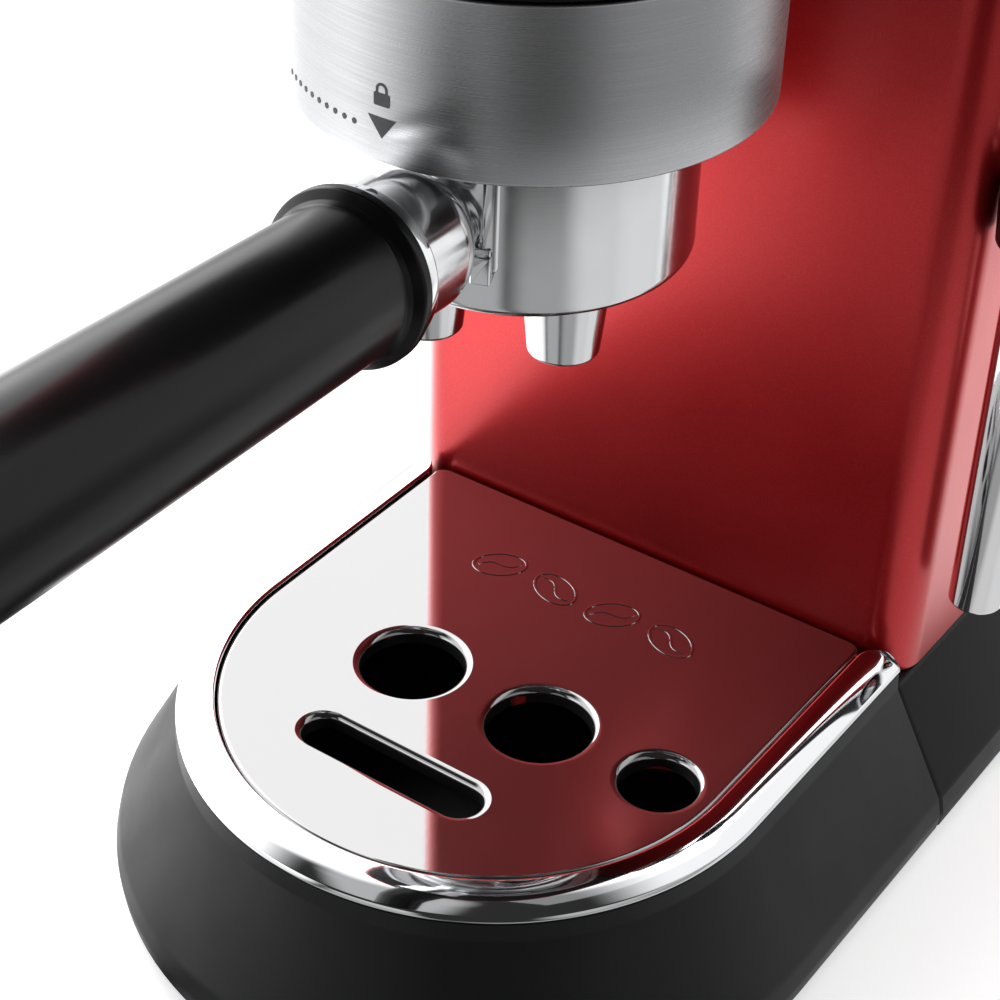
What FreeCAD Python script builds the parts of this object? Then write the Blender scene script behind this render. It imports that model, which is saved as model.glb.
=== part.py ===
"""Pump espresso machine: a slim counter-top machine with a locking portafilter,
a pull-out drip tray, a lift-out water tank and a swinging steam wand.

Millimetres, +Z up, -Y is the front with the portafilter handle, +X is the steam
side.  The origin is on the counter, under the middle of the whole object.
"""
import FreeCAD, Part
import math
import os
import Sketcher

V = FreeCAD.Vector

# Driving dimensions: alias, value, what it measures.
DIMENSIONS = [
    ("mid_x", -2.1, "symmetry plane of the housing"),
    ("group_y", -35.0, "axis of the brewing group"),
    ("arc_y", -43.0, "centre of the rounded front, seen from above"),
    ("column_y", 14.1, "front face of the column"),
    ("body_back", 143.0, "rear edge of the painted skins"),
    ("base_back", 210.0, "rear wall of the base"),
    ("half_skin", 60.9, "half width of the painted skins"),
    ("half_base", 74.5, "half width of the base at the counter"),
    ("foot_top", 3.0, "top of the rubber feet"),
    ("base_top", 35.2, "top of the flared base"),
    ("skin_wall", 1.5, "thickness of the painted skins"),
    ("moulding", 2.5, "wall of the plastic mouldings"),
    ("head_low", 222.0, "lower edge of the painted head"),
    ("band_low", 264.0, "lower edge of the control band"),
    ("band_top", 292.0, "upper edge of the control band"),
    ("roof_top", 300.0, "top of the roof moulding"),
    ("tray_arc", 52.7, "front radius of the cup plate"),
    ("plate_top", 41.5, "top of the cup plate"),
    ("sheet_steel", 1.0, "thickness of the cup plate"),
    ("pattern_x", -1.0, "offset of the hole pattern in the cup plate"),
    ("hole_y", -45.3, "row of the round drain holes"),
    ("ring_outer", 40.7, "outer radius of the group ring"),
    ("ring_low", 168.8, "lower edge of the group ring"),
    ("ring_top", 198.3, "upper edge of the group ring"),
    ("collar_inner", 38.8, "bore of the black collar above the ring"),
    ("heater_low", 225.3, "underside of the heater block"),
    ("bore_low", 31.6, "bayonet shelf radius in the group"),
    ("bore_high", 34.6, "bayonet groove radius in the group"),
    ("shelf_top", 180.0, "top of the bayonet shelf"),
    ("bowl_outer", 29.0, "outer radius of the portafilter bowl"),
    ("bowl_low", 137.6, "underside of the portafilter bowl"),
    ("rim_top", 188.7, "upper rim of the portafilter bowl"),
    ("basket_inner", 24.4, "inner radius of the filter basket"),
    ("handle_z", 152.0, "height of the handle axis at the group axis"),
    ("handle_turn", 4.7, "handle turned to the right when locked, degrees"),
    ("handle_rise", 5.0, "handle rises to the front, degrees"),
    ("handle_end", 178.3, "group axis to the end of the handle"),
    ("spout_low", 118.5, "mouth of the two coffee nozzles"),
    ("spout_gap", 25.0, "distance between the two nozzles"),
    ("wand_x", 70.0, "steam wand axis, from the symmetry plane"),
    ("wand_y", 23.0, "steam wand axis"),
    ("wand_low", 55.7, "mouth of the frother sleeve"),
    ("wand_pivot_z", 186.0, "height of the wand's ball joint"),
    ("knob_y", 40.0, "axis of the steam knob"),
    ("knob_z", 243.0, "axis of the steam knob"),
    ("pump_y", 75.0, "axis of the vibration pump"),
    ("tank_front", 147.0, "front wall of the water tank"),
    ("tank_back", 209.6, "rear wall of the water tank"),
    ("tank_low", 44.4, "floor of the water tank"),
    ("tank_rim", 290.0, "rim of the water tank"),
    ("tank_half", 58.5, "half width of the water tank"),
    ("tank_wall", 2.4, "wall of the water tank"),
    ("gap", 0.3, "assembly clearance"),
]

doc = FreeCAD.newDocument("EspressoMachine")
sheet = doc.addObject("Spreadsheet::Sheet", "Sizes")
for row, (alias, value, note) in enumerate(DIMENSIONS, start=1):
    sheet.set("A%d" % row, alias)
    sheet.set("B%d" % row, repr(value))
    sheet.set("C%d" % row, note)
    sheet.setAlias("B%d" % row, alias)
doc.recompute()


class Size:
    """A number together with the sheet expression that gives it."""

    def __init__(self, value, text):
        self.value = value
        self.text = text

    def join(self, other, sign, value):
        return Size(value, "(%s %s %s)" % (self.text, sign, text_of(other)))

    def __add__(self, other):
        return self.join(other, "+", self.value + number(other))

    def __radd__(self, other):
        return self + other

    def __sub__(self, other):
        return self.join(other, "-", self.value - number(other))

    def __rsub__(self, other):
        return -self + other

    def __mul__(self, other):
        return self.join(other, "*", self.value * number(other))

    def __rmul__(self, other):
        return self * other

    def __neg__(self):
        return self * -1


def number(x):
    return x.value if isinstance(x, Size) else float(x)


def text_of(x):
    return x.text if isinstance(x, Size) else repr(float(x))


S = type("Sizes", (), {alias: Size(value, "Sizes." + alias) for alias, value, note in DIMENSIONS})


def bind(thing, path, x):
    """Tie a property to its sheet expression."""
    thing.setExpression(path, text_of(x))


def place(thing, at=(0, 0, 0), yaw=0, pitch=0, roll=0):
    """Put a thing at a place given from the symmetry plane, turned about Z, Y and X."""
    x, y, z = at
    x = S.mid_x + x
    turn = FreeCAD.Rotation(number(yaw), number(pitch), number(roll))
    thing.Placement = FreeCAD.Placement(V(number(x), number(y), number(z)), turn)
    bind(thing, "Placement.Base.x", x)
    bind(thing, "Placement.Base.y", y)
    bind(thing, "Placement.Base.z", z)
    return thing


# ---------------------------------------------------------------- sketches

def new_body(label, at=(0, 0, 0), **turn):
    body = doc.addObject("PartDesign::Body", label)
    body.Label = label
    return place(body, at, **turn)


def new_sketch(body, plane, shift=0):
    """A sketch on one of the body's own origin planes, moved along its normal."""
    base = [o for o in body.Origin.OriginFeatures if o.Role == plane + "_Plane"][0]
    sketch = body.newObject("Sketcher::SketchObject", body.Label + "_sketch")
    sketch.AttachmentSupport = [(base, "")]
    sketch.MapMode = "FlatFace"
    sketch.AttachmentOffset = FreeCAD.Placement(V(0, 0, number(shift)), FreeCAD.Rotation())
    bind(sketch, "AttachmentOffset.Base.z", shift)
    return sketch


def pin_point(sketch, edge, end, x, y):
    """Fix one end of an edge at sheet-driven distances from the sketch's origin."""
    for kind, axis, value in (("DistanceX", -2, x), ("DistanceY", -1, y)):
        if abs(number(value)) < 1e-9:
            sketch.addConstraint(Sketcher.Constraint("PointOnObject", edge, end, axis))
            continue
        rule = Sketcher.Constraint(kind, -1, 1, edge, end, number(value))
        index = sketch.addConstraint(rule)
        bind(sketch, "Constraints[%d]" % index, value)


def polygon(sketch, points):
    first = sketch.GeometryCount
    count = len(points)
    corners = [V(number(x), number(y), 0) for x, y in points]
    for i in range(count):
        sketch.addGeometry(Part.LineSegment(corners[i], corners[(i + 1) % count]))
    for i in range(count):
        after = first + (i + 1) % count
        sketch.addConstraint(Sketcher.Constraint("Coincident", first + i, 2, after, 1))
    for i, (x, y) in enumerate(points):
        pin_point(sketch, first + i, 1, x, y)


def circle(sketch, x, y, radius):
    centre = V(number(x), number(y), 0)
    edge = sketch.addGeometry(Part.Circle(centre, V(0, 0, 1), number(radius)))
    rule = Sketcher.Constraint("Radius", edge, number(radius))
    bind(sketch, "Constraints[%d]" % sketch.addConstraint(rule), radius)
    pin_point(sketch, edge, 3, x, y)


def rectangle(sketch, low, high):
    (x0, y0), (x1, y1) = low, high
    polygon(sketch, [(x0, y0), (x1, y0), (x1, y1), (x0, y1)])


def heading(start, end):
    """Direction of a run along X or Y, as a pair of -1, 0 or 1."""
    dx, dy = number(end[0]) - number(start[0]), number(end[1]) - number(start[1])
    return tuple(math.copysign(1, d) if abs(d) > 1e-6 else 0 for d in (dx, dy))


def rounded(sketch, corners):
    """A closed outline of runs along X and Y whose corners, (x, y, radius), are rounded."""
    first = sketch.GeometryCount
    count = len(corners)
    runs = []
    for i, (x, y, radius) in enumerate(corners):
        back = heading((x, y), corners[i - 1])
        ahead = heading((x, y), corners[(i + 1) % count])
        entry = (x + back[0] * radius, y + back[1] * radius)
        leave = (x + ahead[0] * radius, y + ahead[1] * radius)
        runs.append((entry, leave, radius, (back[0] + ahead[0], back[1] + ahead[1]), (x, y)))
    edges = []
    for i, (entry, leave, radius, inward, (x, y)) in enumerate(runs):
        if radius:
            bend = radius * (1 - math.sqrt(0.5))
            middle = V(number(x) + inward[0] * bend, number(y) + inward[1] * bend, 0)
            ends = [V(number(a), number(b), 0) for a, b in (entry, leave)]
            edges.append((Part.Arc(ends[0], middle, ends[1]), entry, leave, radius))
        after = runs[(i + 1) % count][0]
        ends = [V(number(a), number(b), 0) for a, b in (leave, after)]
        edges.append((Part.LineSegment(ends[0], ends[1]), leave, after, 0))
    for edge, start, end, radius in edges:
        index = sketch.addGeometry(edge)
        if not radius:
            continue
        flipped = (sketch.getPoint(index, 1) - V(number(start[0]), number(start[1]), 0)).Length > 1e-6
        pin_point(sketch, index, 2 if flipped else 1, *start)
        pin_point(sketch, index, 1 if flipped else 2, *end)
        sketch.addConstraint(Sketcher.Constraint("Radius", index, radius))
    total = len(edges)
    for i, (edge, start, end, radius) in enumerate(edges):
        if radius:
            continue
        line = first + i
        for pos, spot, neighbour in ((1, start, (i - 1) % total), (2, end, (i + 1) % total)):
            if not edges[neighbour][3]:
                if pos == 1:
                    joined = Sketcher.Constraint("Coincident", first + neighbour, 2, line, 1)
                    sketch.addConstraint(joined)
                    pin_point(sketch, line, 1, *spot)
                continue
            other = first + neighbour
            near = (sketch.getPoint(other, 1) - V(number(spot[0]), number(spot[1]), 0)).Length < 1e-6
            sketch.addConstraint(Sketcher.Constraint("Coincident", other, 1 if near else 2, line, pos))


def arch(sketch, radius, straight):
    """Plan of a rounded front: half circle about the sketch's origin and two straight sides."""
    r = number(radius)
    back = number(straight)
    half = Part.ArcOfCircle(Part.Circle(V(0, 0, 0), V(0, 0, 1), r), math.pi, 2 * math.pi)
    edges = [half,
             Part.LineSegment(V(r, 0, 0), V(r, back, 0)),
             Part.LineSegment(V(r, back, 0), V(-r, back, 0)),
             Part.LineSegment(V(-r, back, 0), V(-r, 0, 0))]
    first = sketch.GeometryCount
    for edge in edges:
        sketch.addGeometry(edge)
    sketch.addConstraint(Sketcher.Constraint("Coincident", first, 3, -1, 1))
    for i in range(4):
        after = first + (i + 1) % 4
        sketch.addConstraint(Sketcher.Constraint("Coincident", first + i, 2, after, 1))
    rule = Sketcher.Constraint("Radius", first, r)
    bind(sketch, "Constraints[%d]" % sketch.addConstraint(rule), radius)
    sketch.addConstraint(Sketcher.Constraint("PointOnObject", first, 1, -1))
    sketch.addConstraint(Sketcher.Constraint("PointOnObject", first, 2, -1))
    pin_point(sketch, first + 1, 2, radius, straight)
    sketch.addConstraint(Sketcher.Constraint("Horizontal", first + 2))
    sketch.addConstraint(Sketcher.Constraint("Vertical", first + 3))


def slot(sketch, x, y, half_length, radius):
    """A round-ended slot along X."""
    r = number(radius)
    cx, cy, run = number(x), number(y), number(half_length) - r
    right = Part.ArcOfCircle(Part.Circle(V(cx + run, cy, 0), V(0, 0, 1), r), -math.pi / 2, math.pi / 2)
    left = Part.ArcOfCircle(Part.Circle(V(cx - run, cy, 0), V(0, 0, 1), r), math.pi / 2, 3 * math.pi / 2)
    first = sketch.GeometryCount
    sketch.addGeometry(right)
    sketch.addGeometry(Part.LineSegment(V(cx + run, cy + r, 0), V(cx - run, cy + r, 0)))
    sketch.addGeometry(left)
    sketch.addGeometry(Part.LineSegment(V(cx - run, cy - r, 0), V(cx + run, cy - r, 0)))
    for i in range(4):
        after = first + (i + 1) % 4
        sketch.addConstraint(Sketcher.Constraint("Tangent", first + i, 2, after, 1))
    rule = Sketcher.Constraint("Radius", first, r)
    bind(sketch, "Constraints[%d]" % sketch.addConstraint(rule), radius)
    pin_point(sketch, first, 3, x + half_length - radius, y)
    pin_point(sketch, first + 2, 3, x - half_length + radius, y)


# ---------------------------------------------------------------- features

def pad(body, sketch, length, reverse=False):
    feature = body.newObject("PartDesign::Pad", body.Label + "_pad")
    feature.Profile = sketch
    feature.Length = number(length)
    bind(feature, "Length", length)
    feature.Reversed = reverse
    return feature


def pocket(body, sketch, length, reverse=False):
    feature = body.newObject("PartDesign::Pocket", body.Label + "_pocket")
    feature.Profile = sketch
    feature.Length = number(length)
    bind(feature, "Length", length)
    feature.Reversed = reverse
    return feature


def revolve(body, sketch, axis="V_Axis", angle=360):
    feature = body.newObject("PartDesign::Revolution", body.Label + "_turn")
    feature.Profile = sketch
    feature.ReferenceAxis = (sketch, [axis])
    feature.Angle = angle
    feature.Midplane = angle < 360
    return feature


def turned(label, section, at=(0, 0, 0), **turn):
    """A piece turned on a lathe about its upright axis, from its (radius, height) section."""
    body = new_body(label, at, **turn)
    sketch = new_sketch(body, "XZ")
    polygon(sketch, section)
    revolve(body, sketch)
    return body


def arched(label, section, straight):
    """A (radius, height) section carried round the front and straight back on both sides."""
    body = new_body(label, (0, S.arc_y, 0))
    front = new_sketch(body, "YZ")
    polygon(front, [(-1 * r, z) for r, z in section])
    revolve(body, front, angle=180)
    for side in (1, -1):
        sketch = new_sketch(body, "XZ")
        polygon(sketch, [(side * r, z) for r, z in section])
        pad(body, sketch, straight, reverse=True)
    return body


def cylinder(label, radius, height, at, **turn):
    piece = doc.addObject("Part::Cylinder", label)
    piece.Label = label
    bind(piece, "Radius", radius)
    bind(piece, "Height", height)
    return place(piece, at, **turn)


def cone(label, low_radius, high_radius, height, at, **turn):
    piece = doc.addObject("Part::Cone", label)
    piece.Label = label
    bind(piece, "Radius1", low_radius)
    bind(piece, "Radius2", high_radius)
    bind(piece, "Height", height)
    return place(piece, at, **turn)


def box(label, low, high):
    """A box between two corners."""
    piece = doc.addObject("Part::Box", label)
    piece.Label = label
    for side, a, b in zip(("Length", "Width", "Height"), low, high):
        bind(piece, side, b - a)
    return place(piece, low)


def cut(label, base, *tools):
    for number_of_tool, tool in enumerate(tools):
        last = number_of_tool == len(tools) - 1
        piece = doc.addObject("Part::Cut", label if last else label + "_cut")
        piece.Base = base
        piece.Tool = tool
        base = piece
    piece.Label = label
    return piece


def fuse(label, *pieces):
    piece = doc.addObject("Part::MultiFuse", label)
    piece.Label = label
    piece.Shapes = list(pieces)
    piece.Refine = True
    return piece


def group(label, *pieces):
    """Identical loose pieces kept together under one name."""
    piece = doc.addObject("Part::Compound", label)
    piece.Label = label
    piece.Links = list(pieces)
    return piece


def tube(label, route, radius, bend):
    """A round tube along straight runs joined by arcs of one bend radius."""
    points = [V(number(S.mid_x + x), number(y), number(z)) for x, y, z in route]
    edges = []
    start = points[0]
    for before, corner, after in zip(points, points[1:], points[2:]):
        toward = (before - corner).normalize()
        onward = (after - corner).normalize()
        half = toward.getAngle(onward) / 2
        setback = bend / math.tan(half)
        middle = (toward + onward).normalize() * (bend / math.sin(half) - bend)
        arc_start = corner + toward * setback
        arc_end = corner + onward * setback
        edges.append(Part.LineSegment(start, arc_start).toShape())
        edges.append(Part.Arc(arc_start, corner + middle, arc_end).toShape())
        start = arc_end
    edges.append(Part.LineSegment(start, points[-1]).toShape())
    path = Part.Wire(edges)
    ring = Part.Wire(Part.makeCircle(number(radius), points[0], points[1] - points[0]))
    piece = doc.addObject("Part::Feature", label)
    piece.Label = label
    piece.Shape = path.makePipeShell([ring], True, False)
    return piece


nodes = []


def keep(*pieces):
    nodes.extend(pieces)


X_WARD = {"pitch": 90}       # turns an upright axis to point along +X
Y_WARD = {"roll": -90}       # turns an upright axis to point along +Y

# ------------------------------------------------- base, feet and fasteners

FEET = [(-34, -84), (34, -84), (-58, 192), (58, 192)]
SCREWS = [(-42, 34), (42, 34), (-42, 190), (42, 190)]


def build_base():
    """Flared black base behind the drip tray, open underneath, with a rim that locates the skins."""
    floor = S.foot_top + 2.6
    body = new_body("base_shell", (0, S.column_y + 0.2, 0))
    outer = [(S.half_base, S.foot_top), (S.half_base - 0.9, S.foot_top + 7.9),
             (S.half_skin - 0.2, S.base_top - 1.6), (S.half_skin - 0.2, S.base_top)]
    inner = [(S.half_skin - 2.3, S.base_top - S.moulding), (S.half_base - 3.3, S.foot_top + 7.4),
             (S.half_base - 2.5, S.foot_top)]
    wall = outer + [(-1 * x, z) for x, z in reversed(outer)]
    hollow = [(-1 * x, z) for x, z in reversed(inner)] + inner
    length = S.base_back - S.column_y - 0.2
    shell = new_sketch(body, "XZ")
    polygon(shell, wall + hollow)
    pad(body, shell, length, reverse=True)
    section = [(S.half_base - 1, floor), (S.half_base - 1.6, S.foot_top + 7.9),
               (S.half_skin - 1, S.base_top - 1.6), (S.half_skin - 1, S.base_top - 0.5)]
    closing = section + [(-1 * x, z) for x, z in reversed(section)]
    for where in (-1 * S.moulding, -1 * length):
        end = new_sketch(body, "XZ", where)
        polygon(end, closing)
        pad(body, end, S.moulding)
    deck = new_sketch(body, "XY", S.base_top - 0.5)
    rim_half = S.half_skin - 1.9
    for inset in (0, 2):
        x, front, rear = rim_half - inset, 1.9 + inset, length - 2 - inset
        rounded(deck, [(-1 * x, front, 8.0), (x, front, 8.0), (x, rear, 0), (-1 * x, rear, 0)])
    pad(body, deck, 4.3)
    tools = [cylinder("deck_hole", 5, 20, (0, y, S.base_top - 12)) for y in (S.pump_y, 180)]
    bosses = []
    for x, y in SCREWS:
        bosses.append(cylinder("screw_boss", 4, S.base_top - floor - 1, (x, y, floor)))
        tools.append(cylinder("screw_bore", 1.7, 18, (x, y, floor - 0.1)))
    tools.append(box("rocker_hole", (-47, S.base_back - 4, 12), (-25, S.base_back + 1, 26)))
    tools.append(cylinder("cord_hole", 7, 6, (36, S.base_back - 4, 19), **Y_WARD))
    shell_piece = fuse("base_with_bosses", body, *bosses)
    body.Label = "base_shell_moulding"
    keep(cut("base_shell", shell_piece, *tools))


def build_bottom_plate():
    """Floor of the base, with a tongue that reaches forward under the drip tray."""
    body = new_body("bottom_plate_blank")
    sketch = new_sketch(body, "XY", S.foot_top)
    wide = S.half_base - 3.2
    front = S.column_y + 0.6
    rear = S.base_back - S.moulding - S.gap
    polygon(sketch, [(-45, -95), (45, -95), (45, front), (wide, front), (wide, rear),
                     (-1 * wide, rear), (-1 * wide, front), (-45, front)])
    pad(body, sketch, 2.5)
    tools = []
    for x, y in SCREWS:
        tools.append(cylinder("clearance_hole", 1.8, 4, (x, y, S.foot_top - 0.5)))
        tools.append(cylinder("counterbore", 3.3, 2, (x, y, S.foot_top - 0.5)))
    keep(cut("bottom_plate", body, *tools))
    feet = [cylinder("foot", 8, S.foot_top, (x, y, 0)) for x, y in FEET]
    keep(group("base_feet", *feet))
    screws = []
    for x, y in SCREWS:
        head = cylinder("screw_head", 3, 1.2, (x, y, S.foot_top + 0.2))
        shank = cylinder("screw_shank", 1.6, 16, (x, y, S.foot_top + 0.2))
        screws.append(fuse("screw", head, shank))
    keep(group("base_screws", *screws))


# ------------------------------------------------------------- drip tray

def build_tray():
    """Removable black drip tray whose flared wall is the front of the base."""
    reach = S.column_y - S.arc_y - S.gap
    skin = S.half_skin - 0.2
    section = [(0, 7), (S.half_base - 2.9, 7), (S.half_base - 2.6, 3.2), (S.half_base, 3.2),
               (S.half_base - 0.9, S.foot_top + 7.9), (skin, S.base_top - 1.6), (skin, 38.4),
               (skin - 2.5, 38.4), (skin - 2.5, 32.9), (S.half_base - 3.2, 9.6), (0, 9.6)]
    body = arched("tray_bowl", section, reach)
    back = new_sketch(body, "XZ", -1 * reach)
    side = [(S.half_base - 2.2, 7), (S.half_base - 2.2, 10), (skin - 1.2, 32.6), (skin - 1.2, 35.7)]
    polygon(back, side + [(-1 * x, z) for x, z in reversed(side)])
    pad(body, back, S.moulding)
    keep(body)

    rim = S.half_skin
    trim = [(rim, 38.4), (rim, 39.0), (rim - 0.7, 40.4), (rim - 2.3, 41.6), (rim - 4.5, 42.2),
            (rim - 6.7, 42.3), (rim - 7.6, 41.9), (rim - 7.6, 40.3), (50, 40.3), (50, 39.3),
            (55.4, 39.3), (55.4, 36), (57.8, 36), (57.8, 38.4)]
    keep(arched("tray_trim", trim, reach))


def build_cup_plate():
    """Polished steel plate with a drain slot, two large holes and the float's hole."""
    body = new_body("cup_plate", (0, S.arc_y, 0))
    reach = S.column_y - S.arc_y - 0.6
    blank = new_sketch(body, "XY", S.plate_top - S.sheet_steel)
    arch(blank, S.tray_arc, reach)
    pad(body, blank, S.sheet_steel)
    lip = new_sketch(body, "XY", S.plate_top - S.sheet_steel - 1.6)
    arch(lip, S.tray_arc - 3.4, reach - 1)
    arch(lip, S.tray_arc - 4.4, reach - 2)
    pad(body, lip, 1.9)
    holes = new_sketch(body, "XY", S.plate_top + 1)
    row = S.hole_y - S.arc_y
    for x in (-15.25, 15.25):
        circle(holes, S.pattern_x + x, row, 10.3)
    circle(holes, S.pattern_x + 42.2, row, 7.4)
    slot(holes, S.pattern_x - 0.5, row - 26.4, 20.2, 4.4)
    pocket(body, holes, 6)
    keep(body)


def build_float():
    """Level indicator that rises through the small hole when the tray is full."""
    x = S.pattern_x + 42.2
    section = [(0, 10), (9.5, 10), (9.5, 17), (2.5, 18.5), (2.5, 26), (4.2, 27), (4.2, 29.3), (0, 29.8)]
    keep(turned("tray_float", section, (x, S.hole_y, 0)))


# ----------------------------------------------------- column and housing

def build_column_skin():
    """Painted steel sheet folded round the front and both sides of the column."""
    body = new_body("column_skin", (0, S.column_y, 0))
    sketch = new_sketch(body, "XY", S.base_top + 0.2)
    half = S.half_skin
    back = S.body_back - S.column_y
    wall = S.skin_wall
    rounded(sketch, [(-1 * half, 0, 9.0), (half, 0, 9.0), (half, back, 0), (half - wall, back, 0),
                     (half - wall, wall, 7.5), (wall - half, wall, 7.5), (wall - half, back, 0),
                     (-1 * half, back, 0)])
    pad(body, sketch, S.head_low - S.base_top - 0.4)
    keep(body)


def build_spine():
    """Black wall that closes the housing at the back and carries the tank."""
    half = S.half_skin
    wall = box("spine_wall", (-1 * half, S.body_back + 0.2, S.base_top + 4.2),
               (half, S.body_back + 3.2, S.roof_top))
    hole = cylinder("vent", 4, 8, (0, S.body_back - 2, 250), **Y_WARD)
    keep(cut("rear_spine", wall, hole))
    plate = box("frame_plate", (-46, 104, S.base_top + 4), (46, 105.6, 197))
    foot = box("frame_foot", (-46, 90, S.base_top + 4), (46, 105, S.base_top + 5.6))
    arms = [box("pump_arm", (-9, S.pump_y + 11.2, z), (9, 104.5, z + 6)) for z in (66, 150)]
    keep(fuse("inner_frame", plate, foot, *arms))


def build_head():
    """Head of the machine: underside, painted shell, control band, roof and cup warmer."""
    under = new_body("head_underside", (0, S.arc_y, 0))
    thick = 2.3
    sheet_plan = new_sketch(under, "XY", S.head_low + 0.5)
    arch(sheet_plan, S.half_skin - 2.1, S.column_y - S.arc_y - 0.2)
    circle(sheet_plan, 0, S.group_y - S.arc_y, S.collar_inner)
    pad(under, sheet_plan, thick)
    collar = new_sketch(under, "XY", S.ring_top + S.gap)
    circle(collar, 0, S.group_y - S.arc_y, S.collar_inner + 1.2)
    circle(collar, 0, S.group_y - S.arc_y, S.collar_inner)
    pad(under, collar, S.head_low - S.ring_top + thick)
    keep(under)

    reach = S.body_back - S.arc_y
    half = S.half_skin
    shell = arched("head_shell_blank", [(half, S.head_low), (half, S.band_low), (half - 1.8, S.band_low),
                                        (half - 1.8, S.head_low)], reach)
    stem = cylinder("stem_hole", 3.6, 10, (half - 5, S.knob_y, S.knob_z), **X_WARD)
    keep(cut("head_shell", shell, stem))

    band_mid = (S.band_low + S.band_top) * 0.5
    band = arched("control_band_blank", [(half - 0.4, S.band_low), (half - 0.4, S.band_top),
                                         (half - 2.9, S.band_top), (half - 2.9, S.band_low)], reach)
    holes = []
    rings = []
    for name, angle in (("one_cup_button", -30), ("two_cup_button", 0), ("steam_button", 30)):
        tilt = math.radians(angle)
        direction = (math.sin(tilt), -math.cos(tilt))

        def along(distance):
            return (distance * direction[0], S.arc_y + distance * direction[1], band_mid)

        radial = {"yaw": angle, "roll": 90}
        holes.append(cylinder("button_hole", 10.7, 12, along(S.half_skin - 8), **radial))
        collar = cylinder("button_collar", 10.6, 5.2, along(S.half_skin - 4), **radial)
        bore = cylinder("button_bore", 9.1, 8, along(S.half_skin - 5), **radial)
        rings.append(cut("button_ring", collar, bore))
        cap = cylinder(name + "_cap", 8.9, 4.6, along(S.half_skin - 3.2), **radial)
        stem = cylinder(name + "_stem", 3, 5, along(S.half_skin - 8), **radial)
        keep(fuse(name, cap, stem))
    keep(cut("control_band", band, *holes))
    keep(group("button_rings", *rings))
    keep(box("control_board", (-36, -84.5, S.band_low + 2), (36, -83, S.band_top - 2)))

    roof = [(half, S.band_top), (half, S.roof_top - 1.5), (half - 1.5, S.roof_top),
            (half - 7, S.roof_top), (half - 7, S.roof_top - 2), (0, S.roof_top - 2),
            (0, S.roof_top - 4.4), (half - 2.6, S.roof_top - 4.4), (half - 2.6, S.band_top)]
    keep(arched("top_cover", roof, reach))

    warmer = new_body("cup_warmer", (0, S.arc_y, 0))
    plan = new_sketch(warmer, "XY", S.roof_top - 1.9)
    arch(plan, half - 7.4, reach - 5)
    pad(warmer, plan, 1.4)
    ribs = new_sketch(warmer, "XY", S.roof_top - 0.8)
    for y in range(-20, 160, 20):
        rectangle(ribs, (-36, y), (36, y + 6))
    pad(warmer, ribs, 1.8)
    keep(warmer)


# ------------------------------------------------------------ brewing group

def build_group():
    """Brushed ring, bayonet casting, gasket, shower screen and the heater block above."""
    axis = (0, S.group_y, 0)
    keep(turned("group_ring", [(S.ring_outer - 2, S.ring_low), (S.ring_outer, S.ring_low),
                               (S.ring_outer, S.ring_top), (S.ring_outer - 2, S.ring_top)], axis))
    ceiling = S.ring_top - 4.3
    crown = S.heater_low - S.gap
    flange_r, flange_top, foot = 38.4, 206, 172
    casting = turned("group_casting", [(3, crown), (30, crown), (30, flange_top), (flange_r, flange_top),
                                       (flange_r, foot), (S.bore_low, foot),
                                       (S.bore_low, S.shelf_top), (S.bore_high, S.shelf_top),
                                       (S.bore_high, ceiling), (3, ceiling)], axis)
    gaps = []
    for side in (0, 180):
        wedge = cylinder("bayonet_gap", S.bore_high, 9, (0, S.group_y, 171.5), yaw=side - 65)
        wedge.Angle = 50
        gaps.append(wedge)
    keep(cut("group_head", casting, *gaps))
    keep(turned("group_gasket", [(27.3, S.rim_top + 1.1), (34.2, S.rim_top + 1.1),
                                 (34.2, ceiling - 0.1), (27.3, ceiling - 0.1)], axis))
    screen = cylinder("screen_blank", 26.6, 0.9, (0, S.group_y, 190.8))
    pierced = [cylinder("screen_hole", 2.7, 3, (0, S.group_y, 190))]
    for ring_radius, count in ((9, 8), (15, 12), (21, 18)):
        for i in range(count):
            angle = 2 * math.pi * i / count
            spot = (ring_radius * math.cos(angle), S.group_y + ring_radius * math.sin(angle), 190)
            pierced.append(cylinder("screen_hole", 0.9, 3, spot))
    keep(cut("shower_screen", screen, fuse("screen_holes", *pierced)))
    keep(turned("screen_screw", [(0, 188.9), (4.4, 188.9), (4.4, 190.7), (2.4, 190.7),
                                 (2.4, 204), (0, 204)], axis))

    half_block, half_width, front, rear = 14, 37, -71, 1
    low = S.heater_low
    seam = low + half_block + 0.2
    keep(box("thermoblock_lower", (-half_width, front, low), (half_width, rear, low + half_block)))
    keep(box("thermoblock_upper", (-half_width, front, seam), (half_width, rear, seam + half_block)))
    coil_z = seam + half_block + 3.6
    ring = doc.addObject("Part::Torus", "element_ring")
    bind(ring, "Radius1", 24)
    bind(ring, "Radius2", 3.4)
    place(ring, (0, S.group_y, coil_z))
    pins = [cylinder("element_pin", 2.2, 14, (x, S.group_y, coil_z)) for x in (-24, 24)]
    keep(fuse("heating_element", ring, *pins))


# -------------------------------------------------------------- portafilter

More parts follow.
